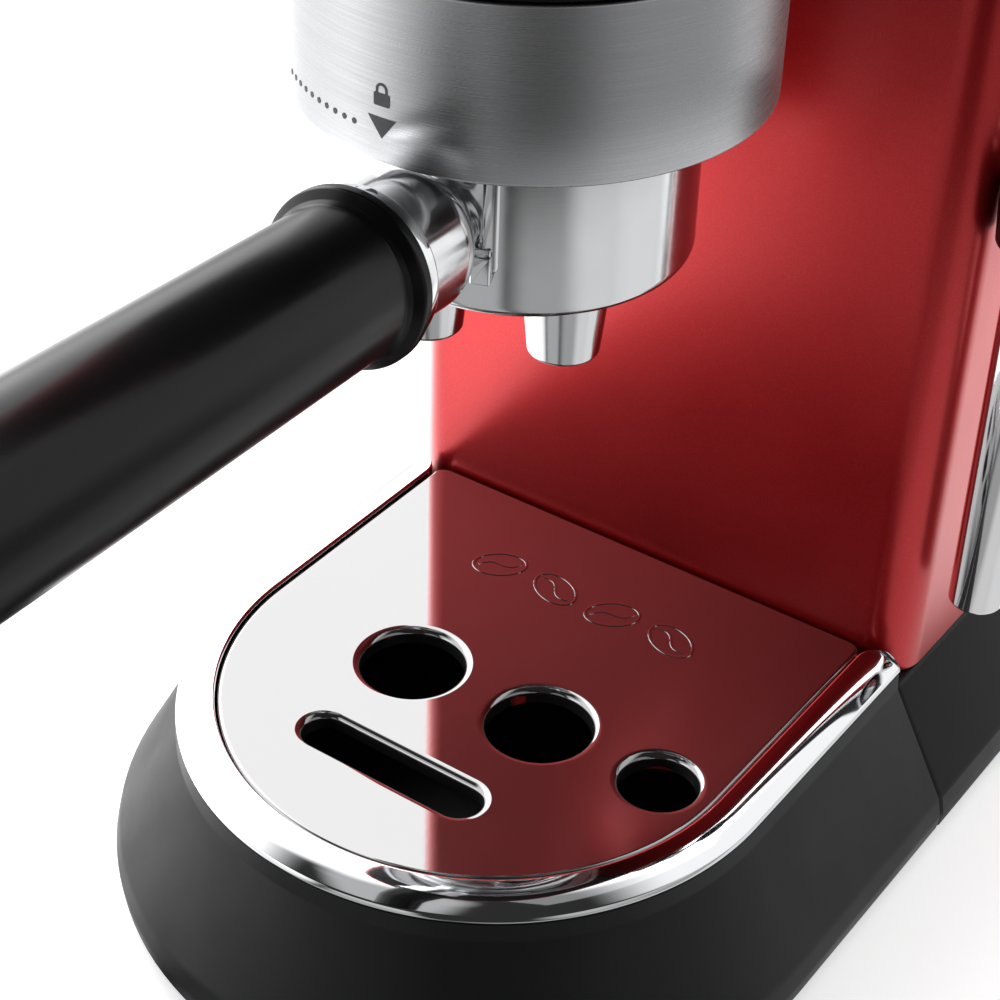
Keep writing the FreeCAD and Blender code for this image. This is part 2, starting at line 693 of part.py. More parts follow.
def build_bowl():
    """Cast bowl with two bayonet lugs and the neck that carries the handle."""
    r = S.bowl_outer
    low = S.bowl_low
    section = [(0, low), (r - 2.8, low), (r - 1.2, low + 0.6), (r - 0.3, low + 1.8), (r, low + 3.6),
               (r, S.shelf_top - 0.4), (r + 2.2, S.shelf_top + 0.4), (r + 2.2, S.rim_top),
               (r - 2.2, S.rim_top), (r - 2.2, low + 6), (r - 4.2, low + 3.4), (0, low + 3.4)]
    bowl = turned("bowl_casting", section, (0, S.group_y, 0), yaw=S.handle_turn)
    lugs = []
    for side in (-20, 160):
        turn = number(S.handle_turn) + side
        outer = cylinder("lug_outer", S.bore_high - 0.4, 6, (0, S.group_y, S.shelf_top + 0.4), yaw=turn)
        outer.Angle = 40
        inner = cylinder("lug_inner", r - 1, 8, (0, S.group_y, S.shelf_top - 0.6))
        lugs.append(cut("bayonet_lug", outer, inner))
    neck = along_handle("neck_casting", [(25, 0), (25, 15), (30, 14.5), (36, 12.4), (50, 11.8),
                                         (50, 4.1), (43, 4.1), (43, 0)])
    core = cylinder("bowl_core", r - 2.2, 30, (0, S.group_y, low + 6))
    outlet = cylinder("bowl_outlet", 3, 8, (0.5, S.group_y - 6, low - 1))
    keep(cut("portafilter_bowl", fuse("bowl_and_neck", bowl, neck, *lugs), core, outlet))


def along_handle(label, section):
    """A piece turned about the handle's axis, from its (distance, radius) section."""
    body = new_body(label, (0, S.group_y, S.handle_z), yaw=S.handle_turn, roll=-1 * S.handle_rise)
    sketch = new_sketch(body, "YZ")
    polygon(sketch, [(-1 * d, r) for d, r in section])
    revolve(body, sketch, axis="H_Axis")
    return body


def build_handle():
    """Chrome ferrule, black grip with its collar, end cap and the bolt through them."""
    end = S.handle_end
    keep(along_handle("neck_ring", [(50.1, 4.3), (50.1, 12.6), (51, 13.6), (53.6, 13.6), (53.6, 4.3)]))
    keep(along_handle("handle_grip", [(53.8, 4.3), (53.8, 13.9), (54.6, 14.7), (56.8, 14.7),
                                      (57.8, 13.9), (58.4, 12.9), (end - 13.2, 13.75),
                                      (end - 13.2, 0), (122, 0), (122, 4.3)]))
    keep(along_handle("handle_cap", [(end - 13, 0), (end - 13, 13.7), (end - 4.5, 13.5),
                                     (end - 1.5, 11.8), (end, 8.5), (end, 0)]))
    keep(along_handle("handle_bolt", [(43.4, 0), (43.4, 4), (120, 4), (120, 0)]))


def build_basket():
    """Pressed steel filter basket, held in the bowl by a wire spring."""
    r = S.basket_inner
    section = [(0, 165), (r + 0.6, 165), (r + 1.4, S.rim_top + 0.1), (r + 5, S.rim_top + 0.1),
               (r + 5, S.rim_top + 0.7), (r + 0.8, S.rim_top + 0.7), (r, 165.6), (0, 165.6)]
    keep(turned("filter_basket", section, (0, S.group_y, 0)))
    spring = doc.addObject("Part::Torus", "basket_spring")
    spring.Label = "basket_spring"
    bind(spring, "Radius1", r + 1.95)
    bind(spring, "Radius2", 0.3)
    place(spring, (0, S.group_y, 176))
    keep(spring)


def build_spout():
    """Twin spout screwed under the bowl, with one nozzle for each cup."""
    turn = 18
    x, y = -1.4, S.group_y - 6.6
    across, ahead = math.cos(math.radians(turn)), math.sin(math.radians(turn))
    half = number(S.spout_gap * 0.5)
    bar_half, bar_low, bar_high = 5, 126, 134
    bar = box("spout_bar", (-half, -bar_half, 0), (half, bar_half, bar_high - bar_low))
    place(bar, (x - half * across + bar_half * ahead, y - half * ahead - bar_half * across, bar_low),
          yaw=turn)
    hub_low = bar_low + 1
    parts = [bar, cylinder("spout_hub", 8, S.bowl_low - hub_low, (x, y, hub_low))]
    bores = []
    for reach in (-half, half):
        spot_x, spot_y = x + reach * across, y + reach * ahead
        parts.append(cone("nozzle", 6.35, 7.75, 15.5, (spot_x, spot_y, S.spout_low)))
        bores.append(cylinder("nozzle_bore", 5, 9, (spot_x, spot_y, S.spout_low - 1)))
    keep(cut("twin_spout", fuse("spout_casting", *parts), *bores))


# --------------------------------------------------------------- steam side

def build_steam():
    """Steam valve and knob, the ball joint, and the wand with its sliding sleeve."""
    half = S.half_skin
    disc = cylinder("ring_disc", 17.6, 1.6, (half, S.knob_y, S.knob_z), **X_WARD)
    keep(cut("knob_ring", disc, cylinder("ring_bore", 15, 4, (half - 1, S.knob_y, S.knob_z), **X_WARD)))
    rim = cylinder("knob_rim", 14.6, 12.2, (half + 0.4, S.knob_y, S.knob_z), **X_WARD)
    bar = box("knob_bar", (half + 12, S.knob_y - 3.5, S.knob_z - 13.2),
              (half + 15.2, S.knob_y + 3.5, S.knob_z + 13.2))
    keep(fuse("steam_knob", rim, bar))
    keep(cylinder("valve_spindle", 3, 24, (half - 23.8, S.knob_y, S.knob_z), **X_WARD))
    block = cylinder("valve_block", 9, 22, (34, S.knob_y, S.knob_z), **X_WARD)
    stem = cylinder("valve_bore", 3.05, 22, (36.5, S.knob_y, S.knob_z), **X_WARD)
    keep(cut("steam_valve", block, stem))

    x, y, top = S.wand_x, S.wand_y, S.wand_pivot_z
    socket = cylinder("socket_boss", 10.5, 3.6, (half, y, top), **X_WARD)
    keep(cut("wand_socket", socket, cylinder("socket_bore", 7.3, 4, (half + 0.8, y, top), **X_WARD)))
    ball = doc.addObject("Part::Sphere", "ball")
    bind(ball, "Radius", 8)
    place(ball, (x, y, top))
    keep(fuse("wand_ball", ball, cylinder("pivot_pin", 2.2, 17.2, (x, y - 8.6, top), **Y_WARD)))
    low = S.wand_low
    keep(cylinder("wand_tube", 3, top - low - 13.9, (x, y, low + 5.6)))
    keep(turned("wand_grip", [(3.1, low + 77), (8, low + 77), (8.7, low + 78.5), (8.7, low + 91),
                              (7.6, low + 92.5), (3.1, low + 92.5)], (x, y, 0)))
    keep(turned("frother_sleeve", [(4.5, low + 0.4), (5.3, low), (5.3, low + 76.7), (3.3, low + 76.7),
                                   (3.3, low + 74.5), (4.5, low + 72)], (x, y, 0)))


# ------------------------------------------------------------ water circuit

def build_pump():
    """Vibration pump standing in the column, with its coil, piston and relief valve."""
    y = S.pump_y
    keep(turned("pump_housing", [(2, 62), (11, 62), (11, 160), (2, 160), (2, 146), (6.1, 146),
                                 (6.1, 76), (2, 76)], (0, y, 0)))
    coil = box("coil_block", (-23, y - 22, 90), (23, y + 22, 138))
    keep(cut("pump_coil", coil, cylinder("coil_bore", 11.2, 60, (0, y, 85))))
    keep(cylinder("pump_piston", 6.05, 56, (0, y, 83)))
    keep(turned("relief_valve", [(0, 160.2), (8, 160.2), (8, 172), (5, 176), (5, 180), (0, 180)],
                (0, y, 0)))
    keep(tube("suction_hose", [(0, 180, 39), (0, 180, 20), (0, y, 20), (0, y, 61.8)], 3.2, 12))
    hose_z = 232
    keep(tube("outlet_hose", [(0, y, 180.2), (0, y, hose_z), (0, 1.2, hose_z)], 2.5, 12))
    keep(box("power_board", (-40, 118, 60), (40, 119.6, 180)))


def build_tank():
    """Clear lift-out water tank with a hinged lid and a spring valve in its floor."""
    low, rim, half, wall = S.tank_low, S.tank_rim, S.tank_half, S.tank_wall
    front, back = S.tank_front, S.tank_back
    seat = box("seat_block", (-54, front + 3, S.base_top + 4), (54, back - 3, low - 0.4))
    keep(cut("tank_seat", seat, cylinder("seat_well", 11, 10, (0, 180, S.base_top + 2))))

    jar = box("tank_outside", (-1 * half, front, low), (half, back, rim))
    water = box("tank_inside", (wall - half, front + wall, low + wall),
                (half - wall, back - wall, rim + 1))
    boss = cylinder("valve_boss", 9, 4, (0, 180, low - 3.6))
    port = cylinder("valve_port", 4.2, 12, (0, 180, low - 5))
    ears = [box("lid_ear", (x, back - 5.6, rim - 8), (x + 4, back - 0.6, rim + 10.4)) for x in (-26, 22)]
    pin_y, pin_z = back - 3.4, rim + 8
    axle = cylinder("lid_axle", 1.5, 64, (-32, pin_y, pin_z), **X_WARD)
    keep(cut("water_tank", fuse("tank_moulding", cut("tank_jar", jar, water), boss, axle, *ears), port))
    keep(turned("valve_plunger", [(0, low - 3), (4, low - 3), (4, low + 2.6), (7, low + 2.6),
                                  (7, low + 4.6), (0, low + 4.6)], (0, 180, 0)))

    lid = box("lid_slab", (-1 * half, front, rim + 0.6), (half, back - 1, rim + 13))
    notches = [box("ear_notch", (x - 0.5, back - 8.4, rim), (x + 4.5, back, rim + 14))
               for x in (-26, 22)]
    bore = cylinder("lid_bore", 1.56, 65, (-32.5, pin_y, pin_z), **X_WARD)
    under = box("lid_underside", (4 - half, front + 4, rim), (half - 4, back - 12, rim + 10))
    keep(cut("tank_lid", lid, under, bore, *notches))


def build_rear_fittings():
    """Rocker switch and the cord's inlet on the back of the base."""
    back = S.base_back
    bezel = box("bezel_block", (-46.8, back - 8, 12.2), (-25.2, back + 1, 25.8))
    collar = box("bezel_collar", (-48.5, back, 10.5), (-23.5, back + 1, 27.5))
    well = box("bezel_well", (-45.2, back - 6.5, 13.8), (-26.8, back + 2, 24.2))
    keep(cut("switch_frame", fuse("bezel_body", bezel, collar), well))
    rocker = box("rocker_cap", (-44.6, back - 3.4, 14.6), (-27.4, back + 2.4, 23.4))
    pin = cylinder("rocker_pin", 1.4, 18, (-45, back - 0.5, 19), **X_WARD)
    keep(fuse("power_rocker", rocker, pin))
    cord_x, cord_z = 36, 19
    barrel = cylinder("inlet_barrel", 6.8, 8, (cord_x, back - 7, cord_z), **Y_WARD)
    nut = cylinder("inlet_collar", 9, 3, (cord_x, back, cord_z), **Y_WARD)
    bore = cylinder("inlet_bore", 3.6, 14, (cord_x, back - 8, cord_z), **Y_WARD)
    keep(cut("cord_inlet", fuse("inlet_body", barrel, nut), bore))


build_base()
build_bottom_plate()
build_tray()
build_cup_plate()
build_float()
build_column_skin()
build_spine()
build_head()
build_group()
build_bowl()
build_handle()
build_basket()
build_spout()
build_steam()
build_pump()
build_tank()
build_rear_fittings()
doc.recompute()

# ----------------------------------------------------------- check and write

for thing in doc.Objects:
    faults = [word for word in thing.State if word in ("Invalid", "Error")]
    if faults:
        raise RuntimeError("%s (%s) failed" % (thing.Name, thing.Label))

os.makedirs("parts", exist_ok=True)
for node in nodes:
    shape = node.Shape
    if shape.isNull() or not shape.isValid() or not shape.Solids:
        raise RuntimeError("%s has no valid solid" % node.Label)
    shape.exportStep("parts/%s.step" % node.Label)
print("%d pieces written" % len(nodes))
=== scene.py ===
"""Looks of the espresso machine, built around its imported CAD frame.

+Z is up, -Y is the front with the handle and +X is the steam side.  Sizes are written in
millimetres and become metres where a mesh is made.
"""
from math import cos, pi, radians, sin, tan

import bmesh
import bpy
from mathutils import Matrix, Vector, geometry


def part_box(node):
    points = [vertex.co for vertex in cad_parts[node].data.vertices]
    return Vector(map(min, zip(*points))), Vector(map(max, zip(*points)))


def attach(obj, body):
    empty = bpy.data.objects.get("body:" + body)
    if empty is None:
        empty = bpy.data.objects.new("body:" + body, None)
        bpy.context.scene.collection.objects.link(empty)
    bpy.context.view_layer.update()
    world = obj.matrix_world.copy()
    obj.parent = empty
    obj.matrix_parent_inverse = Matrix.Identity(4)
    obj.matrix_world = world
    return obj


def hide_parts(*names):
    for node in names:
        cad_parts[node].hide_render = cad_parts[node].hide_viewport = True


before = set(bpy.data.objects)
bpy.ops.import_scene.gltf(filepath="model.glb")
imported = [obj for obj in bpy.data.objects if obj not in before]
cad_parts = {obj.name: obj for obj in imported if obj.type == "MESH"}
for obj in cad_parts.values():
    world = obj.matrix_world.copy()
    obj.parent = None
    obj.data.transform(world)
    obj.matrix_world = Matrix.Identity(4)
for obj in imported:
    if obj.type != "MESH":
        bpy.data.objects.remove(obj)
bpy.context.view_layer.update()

MM = 0.001


def span(node):
    """Lowest corner, highest corner and middle of a CAD node, in millimetres."""
    low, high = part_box(node)
    return low / MM, high / MM, (low + high) / (2 * MM)


RING_LOW, RING_HIGH, RING_MID = span("group_ring")
HEAD_LOW, HEAD_HIGH, HEAD_MID = span("head_shell")
SKIN_LOW, SKIN_HIGH, _ = span("column_skin")
BASE_LOW, BASE_HIGH, _ = span("base_shell")
TRAY_LOW, TRAY_HIGH, TRAY_MID = span("tray_bowl")
_, PLATE_HIGH, PLATE_MID = span("cup_plate")
TANK_LOW, TANK_HIGH, _ = span("water_tank")
COVER_LOW, COVER_HIGH, _ = span("top_cover")
TRIM_HIGH = span("tray_trim")[1]

MID_X = RING_MID.x                       # symmetry plane of the housing
GROUP_Y = RING_MID.y                     # axis of the brewing group
RING_R = RING_HIGH.x - RING_MID.x
HALF = HEAD_HIGH.x - HEAD_MID.x          # half width of the painted skins
ARC_Y = HEAD_LOW.y + HALF                # centre of the rounded front
COLUMN_Y = SKIN_LOW.y                    # front face of the column
BODY_BACK = SKIN_HIGH.y
BASE_HALF = TRAY_HIGH.x - TRAY_MID.x     # half width of the flared base
PLATE_HALF = PLATE_HIGH.x - PLATE_MID.x
BOWL_R = 29.0
BOWL_LOW = span("portafilter_bowl")[0].z
HANDLE_Z = 152.0                         # handle axis at the group axis
HANDLE_TURN = radians(4.7)               # turned to the right when locked
HANDLE_RISE = radians(5.0)               # rises towards the front
HANDLE_END = 178.3                       # distances along the handle start at the group axis
NECK_R, SLEEVE_R = 7.4, 12.0             # the neck at the bowl, and at the ferrule
FLARE_START, FLARE_RUN = 31.0, 8.5       # where the neck swells
HOLE_ROW = -45.3                         # row of the round drain holes
HOLE_SHIFT = -1.0                        # the hole pattern sits a little left of the middle
SLOT_ROW = HOLE_ROW - 26.4
EARS, EAR_WIDE = (-26, 22), 4            # the tank's hinge ears, from the symmetry plane
PRINT = [(0, 0), (0, 0.05)]              # stations of a printed mark

# Soft light patterns that the surfaces reflect.  Angles run from the front towards the steam side.
SKY_BASE = 0.03
SKY = [(-88, 18, 38, 1.9),               # angle, rise, width, strength: white panel on the left
       (-139, 42, 38, 2.7),              # white behind on the left
       (-36, 2, 16, 1.7),                # pale at the front left, low and higher up
       (-34, 22, 14, 1.1),
       (0, 2, 14, 0.6),                  # dim front
       (82, 2, 26, 0.5),                 # grey wall on the steam side
       (-35, 74, 13, 0.5),               # overhead
       (148, 30, 38, 1.1)]               # lighter behind on the right
FLOOR_SEEN = 0.55                        # glow of the floor for the camera alone
FLOOR_BASE = 0.02
FLOOR = [(-82, 40, 1.5),                 # angle, width, strength: painted glow, standing in for light from the left panel
         (-150, 50, 1.0),                # behind on the left
         (-34, 16, 1.0),                 # front left
         (2, 14, 0.4),                   # front
         (92, 34, 0.36),                 # steam side
         (164, 34, 1.0)]                 # behind
FLOOR_NEAR = [(-48, 20, 0.6),            # painted pools of light close to the machine
              (56, 32, 0.34),
              (120, 30, 0.42)]
NEAR_FADE = (0.27, 0.38)                 # metres from the origin where those pools end

# ---- shapes
# A shape is a pair (points, faces) in millimetres.

slide = Matrix.Translation               # matrix that shifts by a vector


def join(*shapes):
    """Several shapes as one."""
    points, faces = [], []
    for some_points, some_faces in shapes:
        start = len(points)
        points += some_points
        faces += [[start + i for i in face] for face in some_faces]
    return points, faces


def moved(shape, matrix):
    """A shape carried by a matrix."""
    points, faces = shape
    return [matrix @ Vector(p) for p in points], faces


def soft(corners, steps=5):
    """A closed outline whose corners (a, b, radius) are rounded with arcs."""
    outline = []
    count = len(corners)
    for i, (x, y, *rest) in enumerate(corners):
        radius = rest[0] if rest else 0
        here = Vector((x, y))
        back = Vector(corners[i - 1][:2]) - here
        ahead = Vector(corners[(i + 1) % count][:2]) - here
        if not radius:
            outline.append((x, y))
            continue
        half = back.angle(ahead) / 2
        setback = min(radius / tan(half), 0.499 * back.length, 0.499 * ahead.length)
        radius = setback * tan(half)
        inward = (back.normalized() + ahead.normalized()).normalized()
        centre = here + inward * (radius / sin(half))
        start = here + back.normalized() * setback - centre
        end = here + ahead.normalized() * setback - centre
        turn = start.angle_signed(end)
        for k in range(steps + 1):
            spoke = start.copy()
            spoke.rotate(Matrix.Rotation(-turn * k / steps, 2))
            outline.append(tuple(centre + spoke))
    return outline


def lathe(outline, place, segments=96):
    """A closed (radius, height) outline turned about the Z axis of a place or a matrix."""
    points, faces, rings = [], [], []
    for radius, height in outline:
        if radius < 1e-6:
            rings.append([len(points)] * segments)
            points.append(Vector((0, 0, height)))
            continue
        rings.append([len(points) + k for k in range(segments)])
        for k in range(segments):
            angle = 2 * pi * k / segments
            points.append(Vector((radius * cos(angle), radius * sin(angle), height)))
    for i, ring in enumerate(rings):
        after = rings[(i + 1) % len(rings)]
        for k in range(segments):
            n = (k + 1) % segments
            face = list(dict.fromkeys([ring[k], ring[n], after[n], after[k]]))
            if len(face) > 2:
                faces.append(face)
    return moved((points, faces), place if isinstance(place, Matrix) else slide(place))


def bridge(rings, closed=False):
    """Faces between successive rings of equally many points."""
    points = [p for ring in rings for p in ring]
    size = len(rings[0])
    faces = []
    for i in range(len(rings) if closed else len(rings) - 1):
        low, high = i * size, ((i + 1) % len(rings)) * size
        for k in range(size):
            n = (k + 1) % size
            faces.append([low + k, low + n, high + n, high + k])
    return points, faces


def capped(rings):
    """Successive rings joined into a closed solid."""
    points, faces = bridge(rings)
    size = len(rings[0])
    return points, faces + [list(range(size)), list(range(len(points) - size, len(points)))]


def arch(outline, back, tips=(), steps=64):
    """A closed (radius, height) outline carried round the front and straight back to a plane.

    tips gives (distance from the rear end, share of the width kept) for a rounded rear end."""
    centre = Vector((MID_X, ARC_Y, 0))
    run = back - ARC_Y
    wide = max(r for r, z in outline)
    stations = [(run - distance, 0.0, share) for distance, share in sorted(tips)]
    if not tips:
        stations.append((run, 0.0, 1.0))
    stations += [(run * f, 0.0, 1.0) for f in (0.66, 0.33)]
    path = stations + [(0.0, pi * k / steps, 1.0) for k in range(steps + 1)]
    path += [(ahead, pi, share) for ahead, turn, share in reversed(stations)]
    rings = []
    for ahead, turn, share in path:
        ring = []
        for r, z in outline:
            r = wide - (wide - r) * share
            ring.append(centre + Vector((r * cos(turn), ahead - r * sin(turn), z)))
        rings.append(ring)
    return capped(rings)


def arch_plan(radius, back, steps=64):
    """Plan outline of the rounded front, anticlockwise."""
    points = [(MID_X + radius, back), (MID_X - radius, back)]
    for k in range(steps + 1):
        turn = pi * (1 + k / steps)
        points.append((MID_X + radius * cos(turn), ARC_Y + radius * sin(turn)))
    return points


def rectangle(low, high, radius=0.0, steps=6):
    (x0, y0), (x1, y1) = low, high
    return soft([(x0, y0, radius), (x1, y0, radius), (x1, y1, radius), (x0, y1, radius)], steps)


def ellipse(x, y, rx, ry=None, count=48):
    ry = ry or rx
    turns = [2 * pi * k / count for k in range(count)]
    return [(x + rx * cos(t), y + ry * sin(t)) for t in turns]


def inset(outline, distance):
    """An outline moved towards its left side, which is inwards if it runs anticlockwise."""
    result = []
    count = len(outline)
    for i in range(count):
        here = Vector(outline[i])
        before = (here - Vector(outline[i - 1])).normalized()
        after = (Vector(outline[(i + 1) % count]) - here).normalized()
        normal = Vector((-before.y - after.y, before.x + after.x)).normalized()
        reach = distance / max(0.35, normal.dot(Vector((-after.y, after.x))))
        result.append(tuple(here + normal * reach))
    return result


def stack(outline, stations):
    """Rings of one outline at (inset, height) stations, closed at both ends."""
    return capped([[Vector((x, y, z)) for x, y in inset(outline, shift)] for shift, z in stations])


def quarter(radius, steps):
    """Points of a quarter circle, as (way in from one side, way in from the other) pairs."""
    turns = [pi / 2 * k / steps for k in range(steps + 1)]
    return [(radius * (1 - sin(t)), radius * (1 - cos(t))) for t in turns]


def edges(low, high, radius, steps=4):
    """Stations for a plate or block whose upper and lower edges are rounded."""
    bend = quarter(radius, steps)
    return [(a, low + b) for a, b in bend] + [(b, high - a) for a, b in bend]


def block(low, high, corner, edge, steps=6):
    """A box with rounded upright edges and rounded rims."""
    plan = rectangle(low[:2], high[:2], corner, steps)
    return stack(plan, edges(low[2], high[2], edge))


def pierced(outer, holes, outer_stations, hole_stations):
    """A sheet with holes.  Stations are (shift into the sheet, height), upper face first."""
    loops = [(outer, outer_stations, 1)] + [(hole, hole_stations, -1) for hole in holes]
    shapes = []
    top, bottom = [], []
    for outline, stations, side in loops:
        rings = [[Vector((x, y, z)) for x, y in inset(outline, side * shift)]
                for shift, z in stations]
        shapes.append(bridge(rings))
        top.append(rings[0])
        bottom.append(rings[-1])
    for loop_set in (top, bottom):
        flat = [p for loop in loop_set for p in loop]
        shapes.append((flat, [list(t) for t in geometry.tessellate_polygon(loop_set)]))
    return join(*shapes)


def rod(path, radius, sides=12, closed=False):
    """A round bar along a smooth list of points."""
    path = [Vector(p) for p in path]
    rings = []
    count = len(path)
    for i, here in enumerate(path):
        before = path[i - 1] if (i or closed) else here
        after = path[(i + 1) % count] if (i < count - 1 or closed) else here
        along = (after - before).normalized()
        side = along.cross(Vector((0, 0, 1)))
        if side.length < 0.1:
            side = along.cross(Vector((0, 1, 0)))
        side.normalize()
        other = side.cross(along)
        turns = [2 * pi * k / sides for k in range(sides)]
        rings.append([here + (side * cos(t) + other * sin(t)) * radius for t in turns])
    return bridge(rings, closed) if closed else capped(rings)


def facing(at, outward, up=(0, 0, 1)):
    """Matrix that lays the XY plane against a face: X to the right, Y up and Z outwards."""
    z = Vector(outward).normalized()
    x = Vector(up).cross(z).normalized()
    y = z.cross(x)
    turn = Matrix((x, y, z)).transposed().to_4x4()
    return slide(at) @ turn


def on_cylinder(shape, centre, radius):
    """Wraps a flat shape (x along, y up, z outwards) round the front of an upright cylinder."""
    points, faces = shape
    wrapped = []
    for x, y, z in points:
        turn, reach = x / radius, radius + z
        wrapped.append(Vector((centre[0] + reach * sin(turn), centre[1] - reach * cos(turn), y)))
    return wrapped, faces


def along_handle(distance=0.0):
    """Matrix that lays the Z axis along the handle, at a distance from the group axis."""
    turn = Matrix.Rotation(HANDLE_TURN, 4, "Z") @ Matrix.Rotation(pi / 2 - HANDLE_RISE, 4, "X")
    axis = slide((MID_X, GROUP_Y, HANDLE_Z))
    return axis @ turn @ slide((0, 0, distance))


# ---- materials

class Look:
    """A procedural material on the Principled shader, in object coordinates."""

    def __init__(self, name, color, **inputs):
        self.material = bpy.data.materials.new(name)
        self.material.use_nodes = True
        self.tree = self.material.node_tree
        self.shader = self.tree.nodes["Principled BSDF"]
        self.color = (*color, 1.0)
        self.set("Base Color", self.color)
        for key, value in inputs.items():
            self.set(key.replace("_", " ").title().replace("Ior", "IOR"), value)
        self.place = self.tree.nodes.new("ShaderNodeTexCoord").outputs["Object"]
        self.normal = None

    def set(self, name, value):
        self.shader.inputs[name].default_value = value

    def add(self, kind, **settings):
        node = self.tree.nodes.new("ShaderNode" + kind)
        for key, value in settings.items():
            if key in node.inputs:
                node.inputs[key].default_value = value
            else:
                setattr(node, key, value)
        return node

    def link(self, source, target):
        self.tree.links.new(source, target)

    def grain(self, scale, stretch=(1, 1, 1), detail=3.0, rough=0.55):
        """Noise whose cells are 1/scale metres, stretched along the axes."""
        mapping = self.add("Mapping")
        mapping.inputs["Scale"].default_value = stretch
        noise = self.add("TexNoise", Scale=scale, Detail=detail, Roughness=rough)
        self.link(self.place, mapping.inputs["Vector"])
        self.link(mapping.outputs["Vector"], noise.inputs["Vector"])
        return noise.outputs["Fac"]

    def ramp(self, source, low, high, start=0.3, end=0.7):
        node = self.add("MapRange", **{"From Min": start, "From Max": end,
                "To Min": low, "To Max": high})
        self.link(source, node.inputs["Value"])
        return node.outputs["Result"]

    def vary(self, name, source, low, high):
        self.link(self.ramp(source, low, high), self.shader.inputs[name])

    def tint(self, source, other, start=0.35, end=0.65):
        """Base colour drifts to another colour with a pattern."""
        mix = self.add("Mix", data_type="RGBA")
        for socket in mix.inputs:
            if socket.type == "RGBA":
                socket.default_value = self.color if socket.name == "A" else (*other, 1.0)
        self.link(self.ramp(source, 0.0, 1.0, start, end), mix.inputs["Factor"])
        out = [s for s in mix.outputs if s.type == "RGBA"][0]
        self.link(out, self.shader.inputs["Base Color"])

    def bump(self, source, depth_mm, strength=1.0):
        node = self.add("Bump", Strength=strength, Distance=depth_mm * MM)
        self.link(source, node.inputs["Height"])
        if self.normal:
            self.link(self.normal, node.inputs["Normal"])
        self.normal = node.outputs["Normal"]
        self.link(self.normal, self.shader.inputs["Normal"])


def brushed(name, color, stretch, roughness, anisotropic=0.0):
    """Brushed metal.  The brush lines run along the axes with a small stretch."""
    look = Look(name, color, metallic=1.0, roughness=0.28, anisotropic=anisotropic)
    lines = look.grain(1.0, stretch, detail=4.0, rough=0.7)
    look.vary("Roughness", lines, *roughness)
    look.tint(lines, tuple(0.92 * c for c in color), 0.3, 0.75)
    look.bump(lines, 0.0015)
    if anisotropic:
        tangent = look.add("Tangent", direction_type="RADIAL", axis="Z")
        look.link(tangent.outputs["Tangent"], look.shader.inputs["Tangent"])
    return look.material


def polished(name, color, roughness=(0.03, 0.07), wave=0.0, metallic=1.0):
    """Chrome or polished steel, with faint wiping marks and, for pressed sheet, a slow wave."""
    look = Look(name, color, metallic=metallic, roughness=0.05)
    look.vary("Roughness", look.grain(60.0, detail=5.0), *roughness)
    if wave:
        look.bump(look.grain(28.0, detail=1.0), wave)
    look.bump(look.grain(900.0, (1, 0.25, 1), detail=2.0), 0.0006)
    return look.material


def cast(name, color, roughness, grain=500.0, depth=0.01, lines=0.0):
    """Cast alloy, dull or polished, with a fine turned or blasted surface."""
    look = Look(name, color, metallic=1.0, roughness=roughness[0])
    speckle = look.grain(grain, detail=4.0)
    look.vary("Roughness", speckle, *roughness)
    look.bump(speckle, depth)
    if lines:
        look.bump(look.grain(1.0, (45, 45, 5200), detail=3.0, rough=0.7), lines)
    return look.material


def plastic(name, color, roughness=(0.42, 0.55), grain=2600.0, depth=0.02, gloss=0.4):
    """Moulded plastic with a fine grain and slow shifts of gloss."""
    look = Look(name, color, roughness=roughness[0], specular_ior_level=gloss)
    look.vary("Roughness", look.grain(45.0, detail=3.0), *roughness)
    look.tint(look.grain(30.0), tuple(min(1.0, 1.22 * c) for c in color))
    look.bump(look.grain(grain, detail=2.0), depth)
    return look.material


def lacquer(name, color, flake):
    """Satin metallic lacquer: pigment, fine flakes and a soft clear coat."""
    look = Look(name, color, metallic=0.76, roughness=0.38, specular_ior_level=0.4,
            coat_weight=0.6, coat_roughness=0.24)
    sparkle = look.grain(5200.0, detail=1.0)
    look.tint(sparkle, flake, 0.45, 0.85)
    look.vary("Roughness", look.grain(40.0, detail=2.0), 0.33, 0.38)
    look.bump(look.grain(700.0, detail=2.0), 0.0018)
    return look.material


def clear(name, color, roughness):
    """Transparent plastic with a faint ripple."""
    look = Look(name, color, roughness=roughness, transmission_weight=1.0, ior=1.49)
    look.bump(look.grain(90.0, detail=2.0), 0.02)
    return look.material


def ink(name, color):
    """Thin matt print."""
    look = Look(name, color, roughness=0.45)
    look.tint(look.grain(1800.0), tuple(0.8 * c for c in color))
    return look.material


RED = lacquer("red_lacquer", (0.56, 0.006, 0.010), (0.66, 0.035, 0.035))
BLACK = plastic("black_grain", (0.009, 0.0092, 0.010), gloss=0.26)
BLACK_SATIN = plastic("black_satin", (0.006, 0.006, 0.0065), (0.22, 0.28), 3200.0, 0.006,
                      gloss=0.20)
BLACK_GLOSS = plastic("black_gloss", (0.012, 0.012, 0.014), (0.12, 0.2), 400.0, 0.002)
RUBBER = plastic("black_rubber", (0.02, 0.02, 0.02), (0.7, 0.85), 1500.0, 0.03)
RING_STEEL = brushed("ring_brushed", (0.58, 0.585, 0.60), (45, 45, 5200), (0.25, 0.31),
                     anisotropic=0.9)
SHEET_STEEL = brushed("sheet_brushed", (0.60, 0.60, 0.61), (40, 40, 4200), (0.24, 0.36))
TOP_STEEL = brushed("top_brushed", (0.62, 0.62, 0.63), (30, 4200, 30), (0.22, 0.34))
CHROME = polished("chrome", (0.80, 0.81, 0.82))
MIRROR = polished("mirror_steel", (0.32, 0.317, 0.32), (0.02, 0.05), wave=0.02, metallic=0.96)
